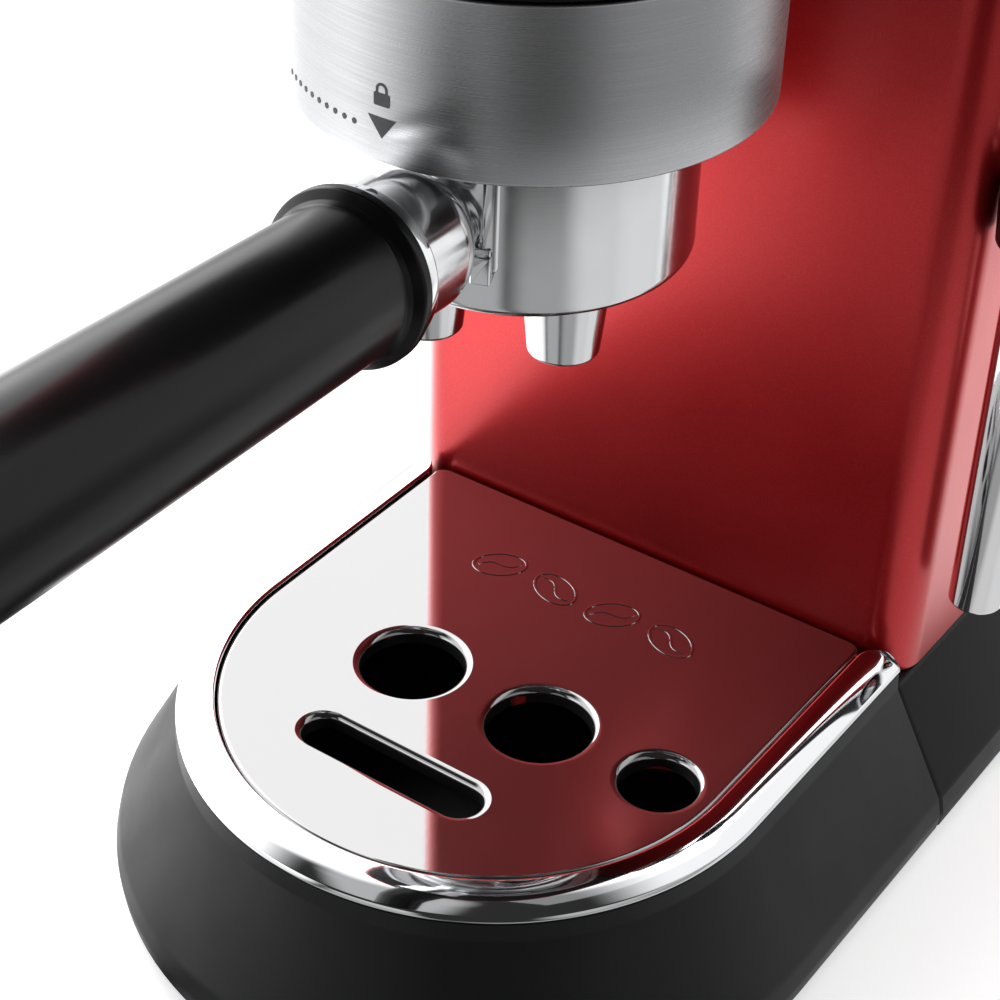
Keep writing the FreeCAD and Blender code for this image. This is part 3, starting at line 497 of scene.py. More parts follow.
WAND_STEEL = polished("wand_steel", (0.76, 0.76, 0.77), (0.06, 0.12))
CAST_BRIGHT = cast("cast_bright", (0.78, 0.79, 0.80), (0.10, 0.17), 160.0, 0.004, lines=0.0022)
CAST_DULL = cast("cast_dull", (0.42, 0.42, 0.43), (0.38, 0.52), 1400.0, 0.03)
STEEL_PLAIN = cast("plain_steel", (0.55, 0.55, 0.56), (0.25, 0.38), 300.0, 0.004)
BRASS = cast("brass", (0.72, 0.50, 0.20), (0.2, 0.32), 350.0, 0.004, lines=0.003)
CLEAR = clear("clear_plastic", (0.72, 0.77, 0.82), 0.05)
PALE = plastic("pale_plastic", (0.62, 0.62, 0.58), (0.4, 0.5), 900.0, 0.02)
BOARD = plastic("board_laminate", (0.012, 0.13, 0.05), (0.3, 0.4), 600.0, 0.01)
SILICONE = plastic("silicone", (0.66, 0.66, 0.63), (0.45, 0.6), 500.0, 0.01)
FLOAT_RED = plastic("float_red", (0.50, 0.012, 0.012), (0.2, 0.3), 400.0, 0.003)
PRINT_DARK = ink("print_dark", (0.055, 0.058, 0.065))
PRINT_WHITE = ink("print_white", (0.78, 0.78, 0.78))


def put(name, data):
    """A new object in the scene."""
    thing = bpy.data.objects.new(name, data)
    bpy.context.scene.collection.objects.link(thing)
    return thing


def piece(name, shape, material, body, node=None, crease=32.0):
    """A mesh object in metres that rides on a body, with smooth faces and crisp creases."""
    points, faces = shape
    mesh = bpy.data.meshes.new(name)
    mesh.from_pydata([Vector(p) * MM for p in points], [], faces)
    work = bmesh.new()
    work.from_mesh(mesh)
    bmesh.ops.remove_doubles(work, verts=work.verts, dist=1e-7)
    bmesh.ops.dissolve_degenerate(work, dist=1e-7, edges=work.edges)
    bmesh.ops.recalc_face_normals(work, faces=work.faces)
    work.to_mesh(mesh)
    work.free()
    for face in mesh.polygons:
        face.use_smooth = True
    mesh.set_sharp_from_angle(angle=radians(crease))
    mesh.materials.append(material)
    thing = put(name, mesh)
    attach(thing, body)
    if node:
        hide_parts(node)
    return thing


# ---- group and ring

def padlock():
    """A closed padlock, drawn flat, centred on its own origin."""
    body = stack(rectangle((-1.7, -1.9), (1.7, 0.5), 0.35), PRINT)
    bow = []
    for r, side in ((1.25, 1), (0.75, -1)):
        turns = [pi * k / 16 for k in range(17)]
        bow += [(side * r, 0.3)]
        bow += [(side * r * cos(t), 1.1 + r * sin(t)) for t in turns]
        bow += [(-side * r, 0.3)]
    return join(body, stack(bow, PRINT))


def triangle_strips(width, tip, base, count=18):
    """A flat triangle that points down, in upright strips narrow enough to wrap round a ring."""
    shapes = []
    for k in range(count):
        sides = [width * (j / count - 0.5) for j in (k, k + 1)]
        feet = [tip + (base - tip) * abs(side) * 2 / width for side in sides]
        corners = [(sides[0], feet[0]), (sides[1], feet[1]), (sides[1], base), (sides[0], base)]
        if feet[0] > base - 1e-6:
            corners.pop(0)
        elif feet[1] > base - 1e-6:
            corners.pop(1)
        shapes.append(stack(corners, PRINT))
    return join(*shapes)


def build_group():
    axis = (MID_X, GROUP_Y, 0)
    low, high, r = RING_LOW.z, RING_HIGH.z, RING_R
    wall = soft([(r - 2, low, 0.3), (r, low, 0.7), (r, high, 0.5), (r - 2, high, 0.3)], 5)
    piece("group_ring_brushed", lathe(wall, axis, 192), RING_STEEL, "housing",
          "group_ring")
    tip_z, base_z, dot_z, lock_z = 173.1, 176.6, 174.3, 180.2
    marks = [triangle_strips(5.4, tip_z, base_z)]
    first, last, pitch = 8.0, 37.0, 3.2          # degrees from the triangle to the dots
    for k in range(int((last - first) / pitch) + 1):
        away = -radians(first + k * pitch) * r
        marks.append(stack(ellipse(away, dot_z, 0.5, count=16), PRINT))
    marks.append(moved(padlock(), slide((0, lock_z, 0)) @ Matrix.Scale(0.9, 4)))
    piece("ring_print", on_cylinder(join(*marks), axis, r + 0.01), PRINT_DARK, "housing")


# ---- portafilter

def flare(distance):
    """Radius of the neck: slim at the bowl, then swelling to a straight sleeve."""
    share = min(1.0, max(0.0, (distance - FLARE_START) / FLARE_RUN))
    return NECK_R + (SLEEVE_R - NECK_R) * sin(share * pi / 2) ** 1.2


def build_bowl():
    r, low = BOWL_R, BOWL_LOW
    top = span("portafilter_bowl")[1].z
    rim, wall = 180.4, 2.2                       # lower side of the rim, and its overhang
    section = soft([(0, low + 1.2), (r - 7.6, low + 1.2, 0.5), (r - 6.8, low, 0.5),
            (r - 5.6, low, 0.6), (r - 4.6, low + 0.7, 0.5), (r, low + 0.9, 5.0),
            (r, rim - 0.8), (r + wall, rim, 0.3), (r + wall, top, 0.4),
            (r - wall, top, 0.4), (r - wall, low + 8, 2.0), (r - 5.2, low + 3.4, 1.5),
            (0, low + 3.4)], 8)
    turn = slide((MID_X, GROUP_Y, 0)) @ Matrix.Rotation(HANDLE_TURN, 4, "Z")
    shapes = [lathe(section, turn, 160)]
    ear_r, ear_span = 34.2, 40                   # bayonet ears
    for side in (-20, 160):
        angles = [radians(side + ear_span * k / 12) for k in range(13)]
        plan = [(ear_r * cos(a), ear_r * sin(a)) for a in angles]
        plan += [(r * cos(a), r * sin(a)) for a in reversed(angles)]
        shapes.append(moved(stack(plan, edges(rim, 186.4, 0.3)), turn))
    start = 26.5                                 # the neck begins inside the bowl's wall
    tube = [(flare(start + 0.75 * k), start + 0.75 * k) for k in range(32)]
    tube += [(SLEEVE_R, 50.0), (4.1, 50.0), (4.1, 43.0), (0, 43.0), (0, start)]
    shapes.append(lathe(tube, along_handle(), 96))

    def on_bowl(angle, z):
        a = radians(angle)
        outward = Vector((sin(a), -cos(a), 0))
        return facing(Vector((MID_X, GROUP_Y, z)) + outward * r, outward)

    lug = join(block((-1.7, -3.2, -2), (1.7, 1.8, 2.0), 0.3, 0.35, 3),
            block((-1.5, 1.2, -2), (1.5, 3.0, 1.2), 0.25, 0.3, 3))
    shapes.append(moved(lug, on_bowl(20.2, 148.8)))
    rib = stack(rectangle((-1.4, -16), (1.4, 16), 1.3, 4), edges(-2, 0.75, 0.7))
    shapes.append(moved(rib, on_bowl(22.6, 163.0)))
    piece("bowl_and_neck", join(*shapes), CAST_BRIGHT, "portafilter",
          "portafilter_bowl")


def build_handle():
    bore, end = 4.3, HANDLE_END
    shoulder, joint, thick = 57.6, end - 13.1, 13.72
    ring = soft([(bore, 50.1), (12.7, 50.1, 0.5), (13.7, 51.3, 0.6), (13.7, 53.7, 0.3),
            (bore, 53.7)], 5)
    grip = soft([(bore, 53.8), (13.9, 53.8, 0.5), (14.8, 54.8, 0.7), (14.8, 56.6, 0.9),
            (13.3, 57.9, 0.5), (12.75, shoulder + 1.2, 0.6), (thick, joint, 0.25),
            (0, joint), (0, 122), (bore, 122)], 6)
    cap = soft([(0, joint + 0.12), (thick, joint + 0.12, 0.25), (13.6, end - 5, 3.0),
            (11.4, end - 0.9, 2.5), (6.2, end, 0.5), (5.6, end - 0.7, 0.3), (0, end - 0.7)], 6)
    for name, outline, material, slot, node in (
            ("ferrule", ring, CHROME, "chrome", "neck_ring"),
            ("grip", grip, BLACK_SATIN, "handle_plastic", "handle_grip"),
            ("grip_end", cap, BLACK_SATIN, "handle_plastic", "handle_cap")):
        piece(name, lathe(outline, along_handle()), material, "portafilter", node)


def build_spout():
    turn = radians(18)
    low, high, _ = span("twin_spout")
    foot, head = low.z + 2.2, high.z             # the photo's nozzles end above the CAD's
    centre = Vector((MID_X - 1.4, GROUP_Y - 6.6, 0))
    reach = 12.5
    along = Vector((cos(turn), sin(turn), 0))
    cup = soft([(0, foot + 5), (4.0, foot + 5), (4.2, foot + 0.6, 0.3), (4.8, foot, 0.4),
            (6.35, foot, 2.0), (7.55, head - 5.0, 0.6), (7.55, head - 4.2, 0.2),
            (8.1, head - 3.9, 0.3), (8.1, head - 2.6, 0.6), (0, head - 2.0)], 6)
    shapes = [lathe(cup, centre + along * reach * side, 64) for side in (-1, 1)]
    bar = moved(stack(rectangle((-reach, -5.4), (reach, 5.4), 4.5), edges(-2, 5.6, 1.8)),
            slide(centre + Vector((0, 0, head - 6.4))) @ Matrix.Rotation(turn, 4, "Z"))
    hub = lathe(soft([(0, head - 6), (9.5, head - 6, 1.5), (9.5, head + 1.3), (0, head + 1.3)]),
            centre)
    piece("twin_nozzles", join(*shapes, bar, hub), CAST_BRIGHT, "portafilter",
          "twin_spout")


# ---- tray and plate

def bean(x, y, turn, length=5.6, width=3.7):
    """Coffee bean outline and its crease, as two raised lines."""
    place = slide((MID_X + x, y, PLATE_HIGH.z))
    place = place @ Matrix.Rotation(radians(turn), 4, "Z") @ Matrix.Scale(0.45, 4, (0, 0, 1))
    turns = [2 * pi * k / 48 for k in range(48)]
    ring = [(length * cos(t), width * sin(t), 0) for t in turns]
    wave = [(length * (1.6 * k / 20 - 0.8), 0.9 * sin(2 * pi * k / 20), 0) for k in range(21)]
    return moved(join(rod(ring, 0.34, 8, closed=True), rod(wave, 0.3, 8)), place)


def skirt(out, foot):
    """Corners of the flared lower edge that the tray and the base share."""
    return [(out - 2.6, foot, 0.4), (out - 0.5, foot, 1.0), (out, foot + 4, 4.0),
            (out - 0.9, foot + 8.4, 6.0)]


def build_tray():
    rim, out, foot, back = HALF, BASE_HALF, TRAY_LOW.z, TRAY_HIGH.y
    skin, top = rim - 0.2, 38.2
    floor, bottom = 9.6, 7.0
    bowl = soft([(0, bottom), (out - 2.9, bottom), *skirt(out, foot), (skin + 0.3, 34.4, 1.6),
            (skin, top, 0.2), (skin - 2.5, top), (skin - 2.5, 32.9), (out - 3.2, floor),
            (0, floor)], 6)
    side = [(out - 2.2, bottom), (out - 2.2, 10.0), (skin - 1.2, 32.6), (skin - 1.2, 35.5)]
    outline = side + [(-x, z) for x, z in reversed(side)]
    wall = capped([[Vector((MID_X + x, y, z)) for x, z in outline]
            for y in (back - 2.5, back - 0.05)])
    piece("tray_body", join(arch(bowl, back), wall), BLACK, "tray", "tray_bowl")

    inner, crest, seat = PLATE_HALF + 0.35, TRIM_HIGH.z, 39.3
    band = soft([(rim - 0.4, 38.3, 0.2), (rim, 38.8, 0.4), (rim - 0.4, 39.7, 0.8),
            (rim - 3.4, 41.4, 12.0), (inner + 0.3, crest, 0.5), (inner, 41.6, 0.3),
            (inner, seat), (rim - 5.5, seat), (rim - 5.5, 36), (rim - 3.1, 36),
            (rim - 3.1, 38.3)], 8)
    tip, narrow = 4.6, 0.42                      # length and narrowing of the band's ends
    turns = [pi / 2 * k / 8 for k in range(9)]
    tips = [(tip * (1 - cos(t)), narrow + (1 - narrow) * sin(t)) for t in turns]
    piece("tray_band", arch(band, TRIM_HIGH.y, tips, 96), CHROME, "tray", "tray_trim")


def build_plate():
    top, steel, back = PLATE_HIGH.z, 0.8, PLATE_HIGH.y
    outline = soft([(MID_X + PLATE_HALF, back, 3.0), (MID_X - PLATE_HALF, back, 3.0)]
            + arch_plan(PLATE_HALF, back, 96)[2:], 5)
    middle = MID_X + HOLE_SHIFT
    holes = [ellipse(middle + x, HOLE_ROW, r, count=96)
            for x, r in ((-15.25, 10.3), (15.25, 10.3), (42.2, 7.4))]
    slot, long, wide = middle - 0.5, 20.2, 4.4   # middle, half length and half width
    holes.append(rectangle((slot - long, SLOT_ROW - wide), (slot + long, SLOT_ROW + wide),
            wide - 0.01, 16))
    edge = {}
    for name, roll, depth in (("outer", 0.9, 2.5), ("hole", 1.7, 3.6)):
        edge[name] = [(a, top - b) for a, b in quarter(roll, 6)]
        edge[name] += [(0, top - depth), (steel, top - depth), (steel, top - roll),
                (roll, top - steel)]
    sheet = piece("plate_sheet", pierced(outline, holes, edge["outer"], edge["hole"]), MIRROR,
            "plate", "cup_plate", crease=40)
    flatten(sheet)
    motif = [bean(x, -8.5, turn) for x, turn in ((-21, 35), (-7, -25), (7, 35), (21, -25))]
    piece("plate_motif", join(*motif), MIRROR, "plate")


def flatten(thing):
    """Level faces keep their own flat normals, so that long triangles don't bend reflections."""
    for face in thing.data.polygons:
        if abs(face.normal.z) > 0.99999:
            face.use_smooth = False


# ---- base and feet

def build_base():
    out, skin, foot = BASE_HALF, HALF - 0.2, BASE_LOW.z
    front, back, shoulder = BASE_LOW.y, BASE_HIGH.y, 35.15
    half = soft([*skirt(out, foot), (skin + 0.3, 34.0, 1.2), (skin, shoulder, 0.3),
            (skin - 3.5, shoulder)], 6)
    outline = half + [(-x, z) for x, z in reversed(half)]
    rings = []
    for y, shrink in ((front, 1.1), (front + 0.3, 0.5), (front + 1.1, 0), (back - 1.5, 0),
            (back - 0.5, 0.5), (back, 1.5)):
        rings.append([Vector((MID_X + x * (1 - shrink / out), y, z - shrink * z / 60))
                for x, z in outline])
    rim = stack(rectangle((MID_X - skin + 1.9, front + 1.9), (MID_X + skin - 1.9, back - 2), 6.0),
            edges(34.9, BASE_HIGH.z, 0.5))
    piece("base_body", join(capped(rings), rim), BLACK, "housing", "base_shell")

    pad = soft([(0, 0.5), (4.2, 0.5), (4.6, 0, 0.3), (7.6, 0, 0.5), (8, 1.0), (7.2, 3.0, 0.2),
            (0, 3.0)])
    feet = [lathe(pad, (MID_X + x, y, 0), 48)
            for x, y in ((-34, -84), (34, -84), (-58, 192), (58, 192))]
    piece("foot_pads", join(*feet), RUBBER, "housing", "base_feet")


# ---- column, head and roof

def build_skins():
    wall, back = 1.5, BODY_BACK
    x, y = HALF, COLUMN_Y
    outer = [(MID_X - x, y, 9.0), (MID_X + x, y, 9.0), (MID_X + x, back), (MID_X + x - wall, back),
            (MID_X + x - wall, y + wall, 7.5), (MID_X - x + wall, y + wall, 7.5),
            (MID_X - x + wall, back), (MID_X - x, back)]
    column = stack(soft(outer, 12), edges(SKIN_LOW.z, SKIN_HIGH.z, 0.35))
    piece("column_panel", column, RED, "housing", "column_skin")

    low, high = HEAD_LOW.z, HEAD_HIGH.z
    section = soft([(x, low, 1.6), (x, high, 0.5), (x - 1.8, high, 0.3), (x - 1.8, low, 0.4)], 5)
    piece("head_panel", arch(section, back), RED, "housing", "head_shell")


def build_roof():
    low, high, r = COVER_LOW.z, COVER_HIGH.z, HALF
    rim = soft([(r, low, 0.3), (r, high, 2.2), (r - 6.9, high, 0.8), (r - 7.3, high - 3.4),
            (r - 2.6, high - 3.9), (r - 2.6, low, 0.2)], 6)
    floor = stack(arch_plan(r - 3, BODY_BACK - 0.4), [(0, high - 4.4), (0, high - 2.4)])
    piece("roof", join(arch(rim, BODY_BACK), floor), BLACK, "housing", "top_cover")

    top, level = span("cup_warmer")[1].z, high - 0.4
    rows, pitch = 8, 21
    slots, bars = [], []
    for row in range(rows):
        y = -40 + pitch * row
        for x in (-26, 0, 26):
            if abs(x) + max(0, ARC_Y - y) < 60:
                slots.append(rectangle((MID_X + x - 9, y - 2), (MID_X + x + 9, y + 2), 1.99, 6))
    for row in range(rows):
        y = -50.5 + pitch * row
        reach = 40 if y > ARC_Y else 34
        bar = block((MID_X - reach, y - 1.6, -0.8), (MID_X + reach, y + 1.6, top - level), 1.5, 0.7)
        bars.append(moved(bar, slide((0, 0, level))))
    roll = 0.7
    edge = [(a, level - b) for a, b in quarter(roll, 4)] + [(0, level - 1.2), (roll, level - 1.2)]
    plate = pierced(arch_plan(r - 7.6, BODY_BACK - 5), slots, edge, edge)
    flatten(piece("warmer_plate", join(plate, *bars), TOP_STEEL, "housing",
            "cup_warmer", crease=40))


def build_spine():
    low, high, _ = span("rear_spine")
    shapes = [block(low, high, 0.6, 0.4)]
    for k in range(9):
        rib = block((low.x + 10, -0.5, -0.9), (high.x - 10, 0.5, 0.9), 0.3, 0.3, 2)
        shapes.append(moved(rib, slide((0, high.y + 0.1, 60 + 24 * k))))
    piece("rear_panel", join(*shapes), BLACK, "housing", "rear_spine")


# ---- controls

def cup_icon(x, size=1.0):
    """A small cup seen from the side, as flat raised shapes."""
    flat = [(0, 0), (0, 0.12)]
    bowl = [(x + a * size, b * size) for a, b in ((-1.5, 1), (-1, -1.2), (1, -1.2), (1.5, 1))]
    saucer = rectangle((x - 1.7 * size, -1.9 * size), (x + 1.7 * size, -1.6 * size))
    ear = [(x + size * (1.45 + 0.65 * sin(t)), size * (0.1 + 0.65 * cos(t)), 0.06)
           for t in (pi * k / 10 for k in range(11))]
    return join(stack(bowl, flat), stack(saucer, flat), rod(ear, 0.14 * size, 6))


def steam_icon():
    """Three rising wisps."""
    lines = []
    for x in (-1.5, 0, 1.5):
        wisp = [(x + 0.45 * sin(2 * pi * k / 14), -1.8 + 3.6 * k / 14, 0.05) for k in range(15)]
        lines.append(rod(wisp, 0.17, 6))
    return join(*lines)


def build_buttons():
    z = (HEAD_HIGH.z + COVER_LOW.z) / 2
    face_r, cap_r = HALF + 1.4, 8.9
    cap = soft([(0, -4.5), (cap_r, -4.5), (cap_r, -0.2, 0.7), (7.4, 0, 0.4), (4.5, -0.35, 3),
            (0, -0.4)], 6)
    stem = [(0, -9.4), (3, -9.4), (3, -4.2), (0, -4.2)]
    lip = soft([(9.1, -5.4), (10.6, -5.4), (10.6, -0.8, 0.7), (9.7, 0.1, 0.5), (9.1, -0.4, 0.3)], 6)
    collars = []
    for name, body, angle, icon in (
            ("one_cup_button", "one_cup", -30, cup_icon(0, 1.35)),
            ("two_cup_button", "two_cup", 0, join(cup_icon(-2.3), cup_icon(2.1))),
            ("steam_button", "steam_press", 30, steam_icon())):
        tilt = radians(angle)
        outward = Vector((sin(tilt), -cos(tilt), 0))
        lay = facing(Vector((MID_X, ARC_Y, z)) + outward * face_r, outward)
        button = join(lathe(cap, lay, 64), lathe(stem, lay, 32))
        piece(name + "_cap", button, BLACK_GLOSS, body, name)
        mark = moved(icon, lay @ slide((0, 0, -0.42)))
        piece(name + "_icon", mark, PRINT_WHITE, body)
        collars.append(lathe(lip, lay, 64))
    piece("button_collars", join(*collars), CHROME, "housing", "button_rings")


def build_knob():
    low, high, mid = span("steam_knob")
    lay = facing(Vector((low.x, mid.y, mid.z)), (1, 0, 0))
    depth, r = high.x - low.x, (high.y - low.y) / 2
    rim, flutes = depth - 2.8, 36
    turns = [2 * pi * k / (flutes * 6) for k in range(flutes * 6)]
    rings = []
    for shift, z in ((0.8, 0), (0, 0.8), (0, rim - 1.4), (0.5, rim - 0.4), (1.4, rim),
            (3.2, rim), (4.0, rim - 0.8)):
        groove = 0.32 if 0 < z < rim - 0.3 else 0
        ring = []
        for t in turns:
            reach = r - shift - groove * (0.5 + 0.5 * cos(flutes * t))
            ring.append(Vector((reach * cos(t), reach * sin(t), z)))
        rings.append(ring)
    bar = block((-3.4, -r + 1.6, rim - 2), (3.4, r - 1.6, depth), 2.8, 1.0)
    piece("knob", moved(join(capped(rings), bar), lay), BLACK_SATIN, "knob",
          "steam_knob")
    pointer = block((-0.55, 6.5, depth - 0.1), (0.55, r - 3.2, depth + 0.08), 0.5, 0.05)
    piece("knob_pointer", moved(pointer, lay), PRINT_WHITE, "knob")
    low, high, mid = span("knob_ring")
    seat = facing(Vector((low.x, mid.y, mid.z)), (1, 0, 0))
    bore, wide = 15, (high.y - low.y) / 2
    lip = soft([(bore, 0), (wide, 0), (wide, 0.7, 0.4), (wide - 1.0, 1.6, 0.6),
            (bore, 1.3, 0.3)], 6)
    piece("knob_bezel", lathe(lip, seat), CHROME, "housing", "knob_ring")


def build_wand():
    low, high, mid = span("frother_sleeve")
    axis, r = (mid.x, mid.y, 0), high.x - mid.x
    tube = soft([(4.4, low.z + 0.4, 0.2), (r - 0.3, low.z, 0.35), (r, low.z + 0.6, 0.3),
            (r, high.z, 0.5), (3.3, high.z), (3.3, high.z - 2.2), (4.4, high.z - 4.6)], 4)
    piece("frother", lathe(tube, axis, 96), WAND_STEEL, "sleeve", "frother_sleeve")
    low, high, mid = span("wand_grip")
    a, b, wide, bore = low.z, high.z, high.x - mid.x, 3.1
    grip = soft([(bore, a), (wide - 2.4, a, 0.5), (wide - 0.5, a + 2.2, 1.0), (wide, a + 9, 2.0),
            (wide, b - 1.6, 1.0), (wide - 2.2, b, 0.6), (bore, b)], 5)
    piece("wand_hand_grip", lathe(grip, axis, 72), BLACK_SATIN, "wand",
          "wand_grip")
    low, high, _ = span("wand_tube")
    pipe = soft([(0, low.z), (3, low.z, 0.4), (3, high.z), (0, high.z)], 4)
    collar = soft([(0, b + 0.2), (4.6, b + 0.2, 0.5), (4.6, b + 3.0, 0.5), (0, b + 3.0)], 4)
    bits = [lathe(shape, axis, 48) for shape in (pipe, collar)]
    piece("wand_pipe", join(*bits), WAND_STEEL, "wand", "wand_tube")
    low, high, ball = span("wand_ball")
    radius = (high.x - low.x) / 2
    turns = [pi * k / 32 for k in range(33)]
    sphere = [(max(0.0, radius * sin(t)), -radius * cos(t)) for t in turns]
    sphere[0], sphere[-1] = (0, -radius), (0, radius)
    pin = lathe(soft([(0, -8.6), (2.2, -8.6, 0.4), (2.2, 8.6, 0.4), (0, 8.6)], 4),
            facing(ball, (0, 1, 0)), 32)
    piece("wand_joint", join(lathe(sphere, ball, 64), pin), CHROME, "wand", "wand_ball")
    low, high, seat = span("wand_socket")
    lay = facing(Vector((low.x, seat.y, seat.z)), (1, 0, 0))
    wide, depth = (high.y - low.y) / 2, high.x - low.x
    boss = soft([(0, 0), (wide, 0), (wide, depth, 1.4), (7.3, depth, 0.4), (6.3, 0.8), (0, 0.8)], 6)
    piece("wand_boss", lathe(boss, lay, 72), BLACK_SATIN, "housing", "wand_socket")


# ---- tank and rear

def build_tank():
    low, high = TANK_LOW, TANK_HIGH
    floor, rim, wall, back = 44.4, 290.0, 2.4, TANK_HIGH.y
    walls = [(a, floor + b) for a, b in quarter(3.0, 5)]
    walls += [(0, rim - 0.5), (0.5, rim), (wall - 0.5, rim), (wall, rim - 0.5)]
    walls += [(wall + b, floor + wall + a) for a, b in quarter(2.0, 5)]
    shapes = [stack(rectangle((low.x, low.y), (high.x, back), 7.0, 8), walls)]
    port = soft([(4.2, low.z), (9, low.z, 0.6), (9, floor + 0.2), (4.2, floor + 0.2)], 4)
    shapes.append(lathe(port, (MID_X, 180, 0), 48))
    for x in EARS:
        shapes.append(block((MID_X + x, back - 5.6, rim - 8),
                (MID_X + x + EAR_WIDE, back - 0.6, high.z), 1.0, 0.8, 3))
    for x in (-24, 24):
        pin = facing(Vector((MID_X + x, back - 3.4, rim + 8)), (1, 0, 0))
        shapes.append(lathe([(0, -2.4), (1.4, -2.4), (1.4, 2.4), (0, 2.4)], pin, 24))
    piece("tank_jar", join(*shapes), CLEAR, "tank", "water_tank")
    mark = block((MID_X - 14, 0, -0.4), (MID_X + 14, 0.12, 0.4), 0.05, 0.03, 2)
    marks = [moved(mark, slide((0, back, level))) for level in (90, 250)]
    piece("tank_levels", join(*marks), PRINT_WHITE, "tank")


def build_lid():
    """Hinged lid with a finger notch, cut round the tank's two hinge ears."""
    low, high, _ = span("tank_lid")
    rear, gap = high.y, 0.5
    sides = [(low.x, low.y, 7.0), (high.x, low.y, 7.0), (high.x, rear, 5.0)]
    for x in reversed(EARS):
        left, right = MID_X + x - gap, MID_X + x + EAR_WIDE + gap
        sides += [(right, rear, 0.5), (right, rear - 7.6, 0.5), (left, rear - 7.6, 0.5),
                (left, rear, 0.5)]
    sides.append((low.x, rear, 5.0))
    slab = stack(soft(sides, 5), edges(low.z, high.z, 1.3))
    grip = moved(block((-16, -1.6, -1.2), (16, 1.6, 1.0), 1.5, 0.7),
            slide((MID_X, low.y + 12, high.z - 1.0)))
    piece("lid", join(slab, grip), BLACK, "lid", "tank_lid")


def build_rear():
    low, high, mid = span("switch_frame")
    lay = facing(Vector((mid.x, high.y - 1, mid.z)), (0, 1, 0))
    wide, tall = (high.x - low.x) / 2, (high.z - low.z) / 2
    low, high, rocker = span("power_rocker")
    rw, rt, depth = (high.x - low.x) / 2, (high.z - low.z) / 2, high.y - low.y
    opening = rectangle((-rw - 0.6, -rt - 0.8), (rw + 0.6, rt + 0.8), 0.8, 4)
    face = [(0.8, 1.0), (0.25, 0.85), (0, 0.4), (0, 0.0), (0.8, 0.0)]
    inner = [(0.3, 1.0), (0.05, 0.85), (0, 0.6), (0, -6.0), (0.8, -6.0), (0.8, 0.0)]
    bezel = pierced(rectangle((-wide, -tall), (wide, tall), 1.6, 4), [opening], face, inner)
    piece("switch_bezel", moved(bezel, lay), BLACK_GLOSS, "housing",
          "switch_frame")
    lay = facing(Vector((rocker.x, low.y, rocker.z)), (0, 1, 0))
    side = soft([(-rt, 0), (rt, 0), (rt, depth, 0.5), (rt * 0.55, depth - 0.3, 2),
            (0, depth - 1.5, 5), (-rt * 0.55, depth - 0.3, 2), (-rt, depth, 0.5)], 5)
    cap = stack(side, [(0.3, -rw), (0, -rw + 0.3), (0, rw - 0.3), (0.3, rw)])
    upright = Matrix(((0, 0, 1, 0), (1, 0, 0, 0), (0, 1, 0, 0), (0, 0, 0, 1)))
    piece("rocker_cap", moved(cap, lay @ upright), BLACK_GLOSS, "rocker",
          "power_rocker")

    low, high, inlet = span("cord_inlet")
    lay = facing(Vector((inlet.x, low.y, inlet.z)), (0, 1, 0))
    depth, wide, bore = high.y - low.y, (high.x - low.x) / 2, 3.6
    collar = soft([(bore, 0), (6.8, 0), (6.8, depth - 3), (wide, depth - 3),
            (wide, depth - 0.8, 0.8), (wide - 1.6, depth, 0.6), (4.4, depth, 0.6),
            (bore, depth - 0.9)], 5)
    piece("inlet_collar", lathe(collar, lay, 64), BLACK_SATIN, "housing",
          "cord_inlet")


def build_float():
    _, high, mid = span("tray_float")
    disc, stem, knob = 9.5, 2.5, 4.2
    shape = soft([(0, 10), (disc, 10, 1.2), (disc, 17, 1.5), (stem, 18.5, 0.8), (stem, 26, 0.4),
            (knob, 27, 0.4), (knob, 29.3, 0.6), (0, high.z)], 6)
    piece("level_float", lathe(shape, (mid.x, mid.y, 0), 64), FLOAT_RED, "float",
          "tray_float")


# ---- CAD nodes that stay as they are

KEPT = {
    BLACK: ["bottom_plate", "head_underside", "tank_seat"],
    RUBBER: ["group_gasket"],
    STEEL_PLAIN: ["base_screws", "screen_screw", "basket_spring", "handle_bolt", "valve_spindle",
                  "pump_piston", "inner_frame", "shower_screen", "filter_basket",
                  "heating_element"],
    SHEET_STEEL: ["control_band"],
    CAST_DULL: ["group_head", "thermoblock_lower", "thermoblock_upper"],
    BOARD: ["control_board", "power_board"],
    PALE: ["pump_housing"],
    BLACK_SATIN: ["pump_coil", "valve_plunger"],
    BRASS: ["relief_valve", "steam_valve"],
    SILICONE: ["suction_hose", "outlet_hose"],
}


def dress_kept_nodes():
    for material, names in KEPT.items():
        for name in names:
            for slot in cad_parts[name].material_slots:
                slot.material = material


# ---- studio and camera

def card(name, at, target, size, power):
    """A square soft light panel that faces a target, unseen by the camera."""
    lamp = bpy.data.lights.new(name, "AREA")
    lamp.shape, lamp.size, lamp.energy = "SQUARE", size, power
    thing = put(name, lamp)
    thing.location = at
    thing.rotation_euler = (Vector(target) - Vector(at)).to_track_quat("-Z", "Y").to_euler()
    thing.visible_camera = False


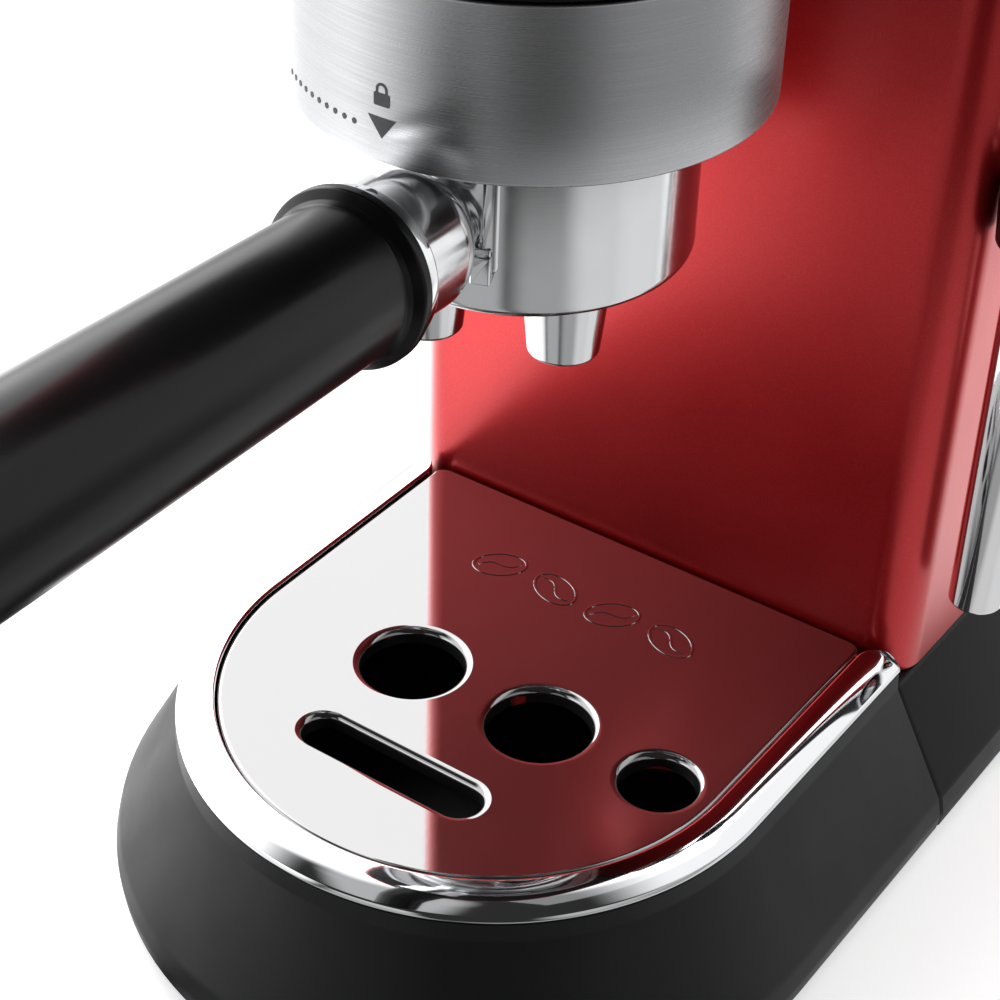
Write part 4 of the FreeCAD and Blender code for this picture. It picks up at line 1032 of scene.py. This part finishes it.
class Pattern:
    """Brightness pattern made of soft patches round chosen directions, in one node tree."""

    def __init__(self, tree, direction, base):
        self.tree = tree
        self.direction = direction
        self.total = None
        self.base = base

    def patch(self, towards, width, strength):
        dot = self.tree.nodes.new("ShaderNodeVectorMath")
        dot.operation = "DOT_PRODUCT"
        dot.inputs[1].default_value = Vector(towards).normalized()
        self.tree.links.new(self.direction, dot.inputs[0])
        ramp = self.tree.nodes.new("ShaderNodeMapRange")
        ramp.interpolation_type = "SMOOTHSTEP"
        ramp.inputs["From Min"].default_value = cos(radians(width * 1.25))
        ramp.inputs["From Max"].default_value = cos(radians(width * 0.75))
        ramp.inputs["To Max"].default_value = strength
        self.tree.links.new(dot.outputs["Value"], ramp.inputs["Value"])
        self.mix(ramp.outputs["Result"])

    def mix(self, value, operation="ADD"):
        node = self.tree.nodes.new("ShaderNodeMath")
        node.operation = operation
        if self.total is None:
            node.inputs[0].default_value = self.base
        else:
            self.tree.links.new(self.total, node.inputs[0])
        self.tree.links.new(value, node.inputs[1])
        self.total = node.outputs[0]


def compass(angle, rise=0.0):
    """Direction at an angle from the front towards the steam side, raised above the horizon."""
    turn, lift = radians(angle), radians(rise)
    return (sin(turn) * cos(lift), -cos(turn) * cos(lift), sin(lift))


def camera_split(tree, unseen, seen, output):
    """Shows one shader to the camera and another to every other ray."""
    rays = tree.nodes.new("ShaderNodeLightPath")
    mix = tree.nodes.new("ShaderNodeMixShader")
    tree.links.new(rays.outputs["Is Camera Ray"], mix.inputs[0])
    tree.links.new(unseen.outputs[0], mix.inputs[1])
    tree.links.new(seen.outputs[0], mix.inputs[2])
    tree.links.new(mix.outputs[0], tree.nodes[output].inputs["Surface"])


def build_world():
    """White to the camera; soft white and grey panels to everything else."""
    world = bpy.data.worlds.new("studio")
    world.use_nodes = True
    bpy.context.scene.world = world
    tree = world.node_tree
    view = tree.nodes.new("ShaderNodeTexCoord")
    pattern = Pattern(tree, view.outputs["Generated"], SKY_BASE)
    for angle, rise, width, strength in SKY:
        pattern.patch(compass(angle, rise), width, strength)
    unseen, seen = tree.nodes["Background"], tree.nodes.new("ShaderNodeBackground")
    for node in (unseen, seen):
        node.inputs["Color"].default_value = (1, 1, 1, 1)
    tree.links.new(pattern.total, unseen.inputs["Strength"])
    camera_split(tree, unseen, seen, "World Output")


def build_floor():
    """Pale paper floor to the camera. Every other ray sees dark paper with painted light: glowing
    patches, brighter on the left and near the machine.
    """
    reach = 6.0
    floor = bpy.data.meshes.new("floor")
    floor.from_pydata([(-reach, -reach, 0), (reach, -reach, 0), (reach, reach, 0),
            (-reach, reach, 0)], [], [(0, 1, 2, 3)])
    paper = Look("paper", (0.03, 0.03, 0.03), roughness=0.9, specular_ior_level=0.0)
    paper.set("Emission Color", (1, 1, 1, 1))
    length = paper.add("VectorMath", operation="LENGTH")
    unit = paper.add("VectorMath", operation="NORMALIZE")
    for node in (length, unit):
        paper.link(paper.place, node.inputs[0])
    pattern = Pattern(paper.tree, unit.outputs["Vector"], FLOOR_BASE)
    for angle, width, strength in FLOOR_NEAR:
        pattern.patch(compass(angle), width, strength)
    fade = paper.add("MapRange", interpolation_type="SMOOTHSTEP",
            **{"From Min": NEAR_FADE[0], "From Max": NEAR_FADE[1], "To Min": 1.0, "To Max": 0.0})
    paper.link(length.outputs["Value"], fade.inputs["Value"])
    pattern.mix(fade.outputs["Result"], "MULTIPLY")
    for angle, width, strength in FLOOR:
        pattern.patch(compass(angle), width, strength)
    # The pattern drives the floor's emission: painted light that reflections see and that lights
    # the machine.
    paper.link(pattern.total, paper.shader.inputs["Emission Strength"])
    seen = paper.add("BsdfPrincipled", Roughness=0.9,
            **{"Base Color": (0.80, 0.80, 0.80, 1), "Emission Color": (1, 1, 1, 1),
            "Emission Strength": FLOOR_SEEN})
    camera_split(paper.tree, paper.shader, seen, "Material Output")
    floor.materials.append(paper.material)
    put("floor", floor)


def build_studio():
    build_floor()
    build_world()
    card("key_panel", (-0.95, 0.15, 0.60), (0, 0, 0.12), 0.7, 1.6)
    card("top_panel", (0.1, 0.35, 1.1), (0, 0, 0.1), 0.8, 0.5)
    bpy.context.scene.view_settings.view_transform = "Standard"


def build_camera():
    lens = bpy.data.cameras.new("camera")
    lens.sensor_width = 36.0
    lens.lens = 83.2
    lens.shift_x, lens.shift_y = 0.110, 0.037
    lens.clip_start, lens.clip_end = 0.01, 30.0
    eye = put("camera", lens)
    eye.location = (0.1943, -0.3294, 0.3339)
    eye.rotation_euler = (radians(90 - 36.40), radians(0.06), radians(37.49))
    bpy.context.scene.camera = eye


build_group()
build_bowl()
build_handle()
build_spout()
build_tray()
build_plate()
build_base()
build_skins()
build_roof()
build_spine()
build_buttons()
build_knob()
build_wand()
build_tank()
build_lid()
build_float()
build_rear()
dress_kept_nodes()
build_studio()
build_camera()
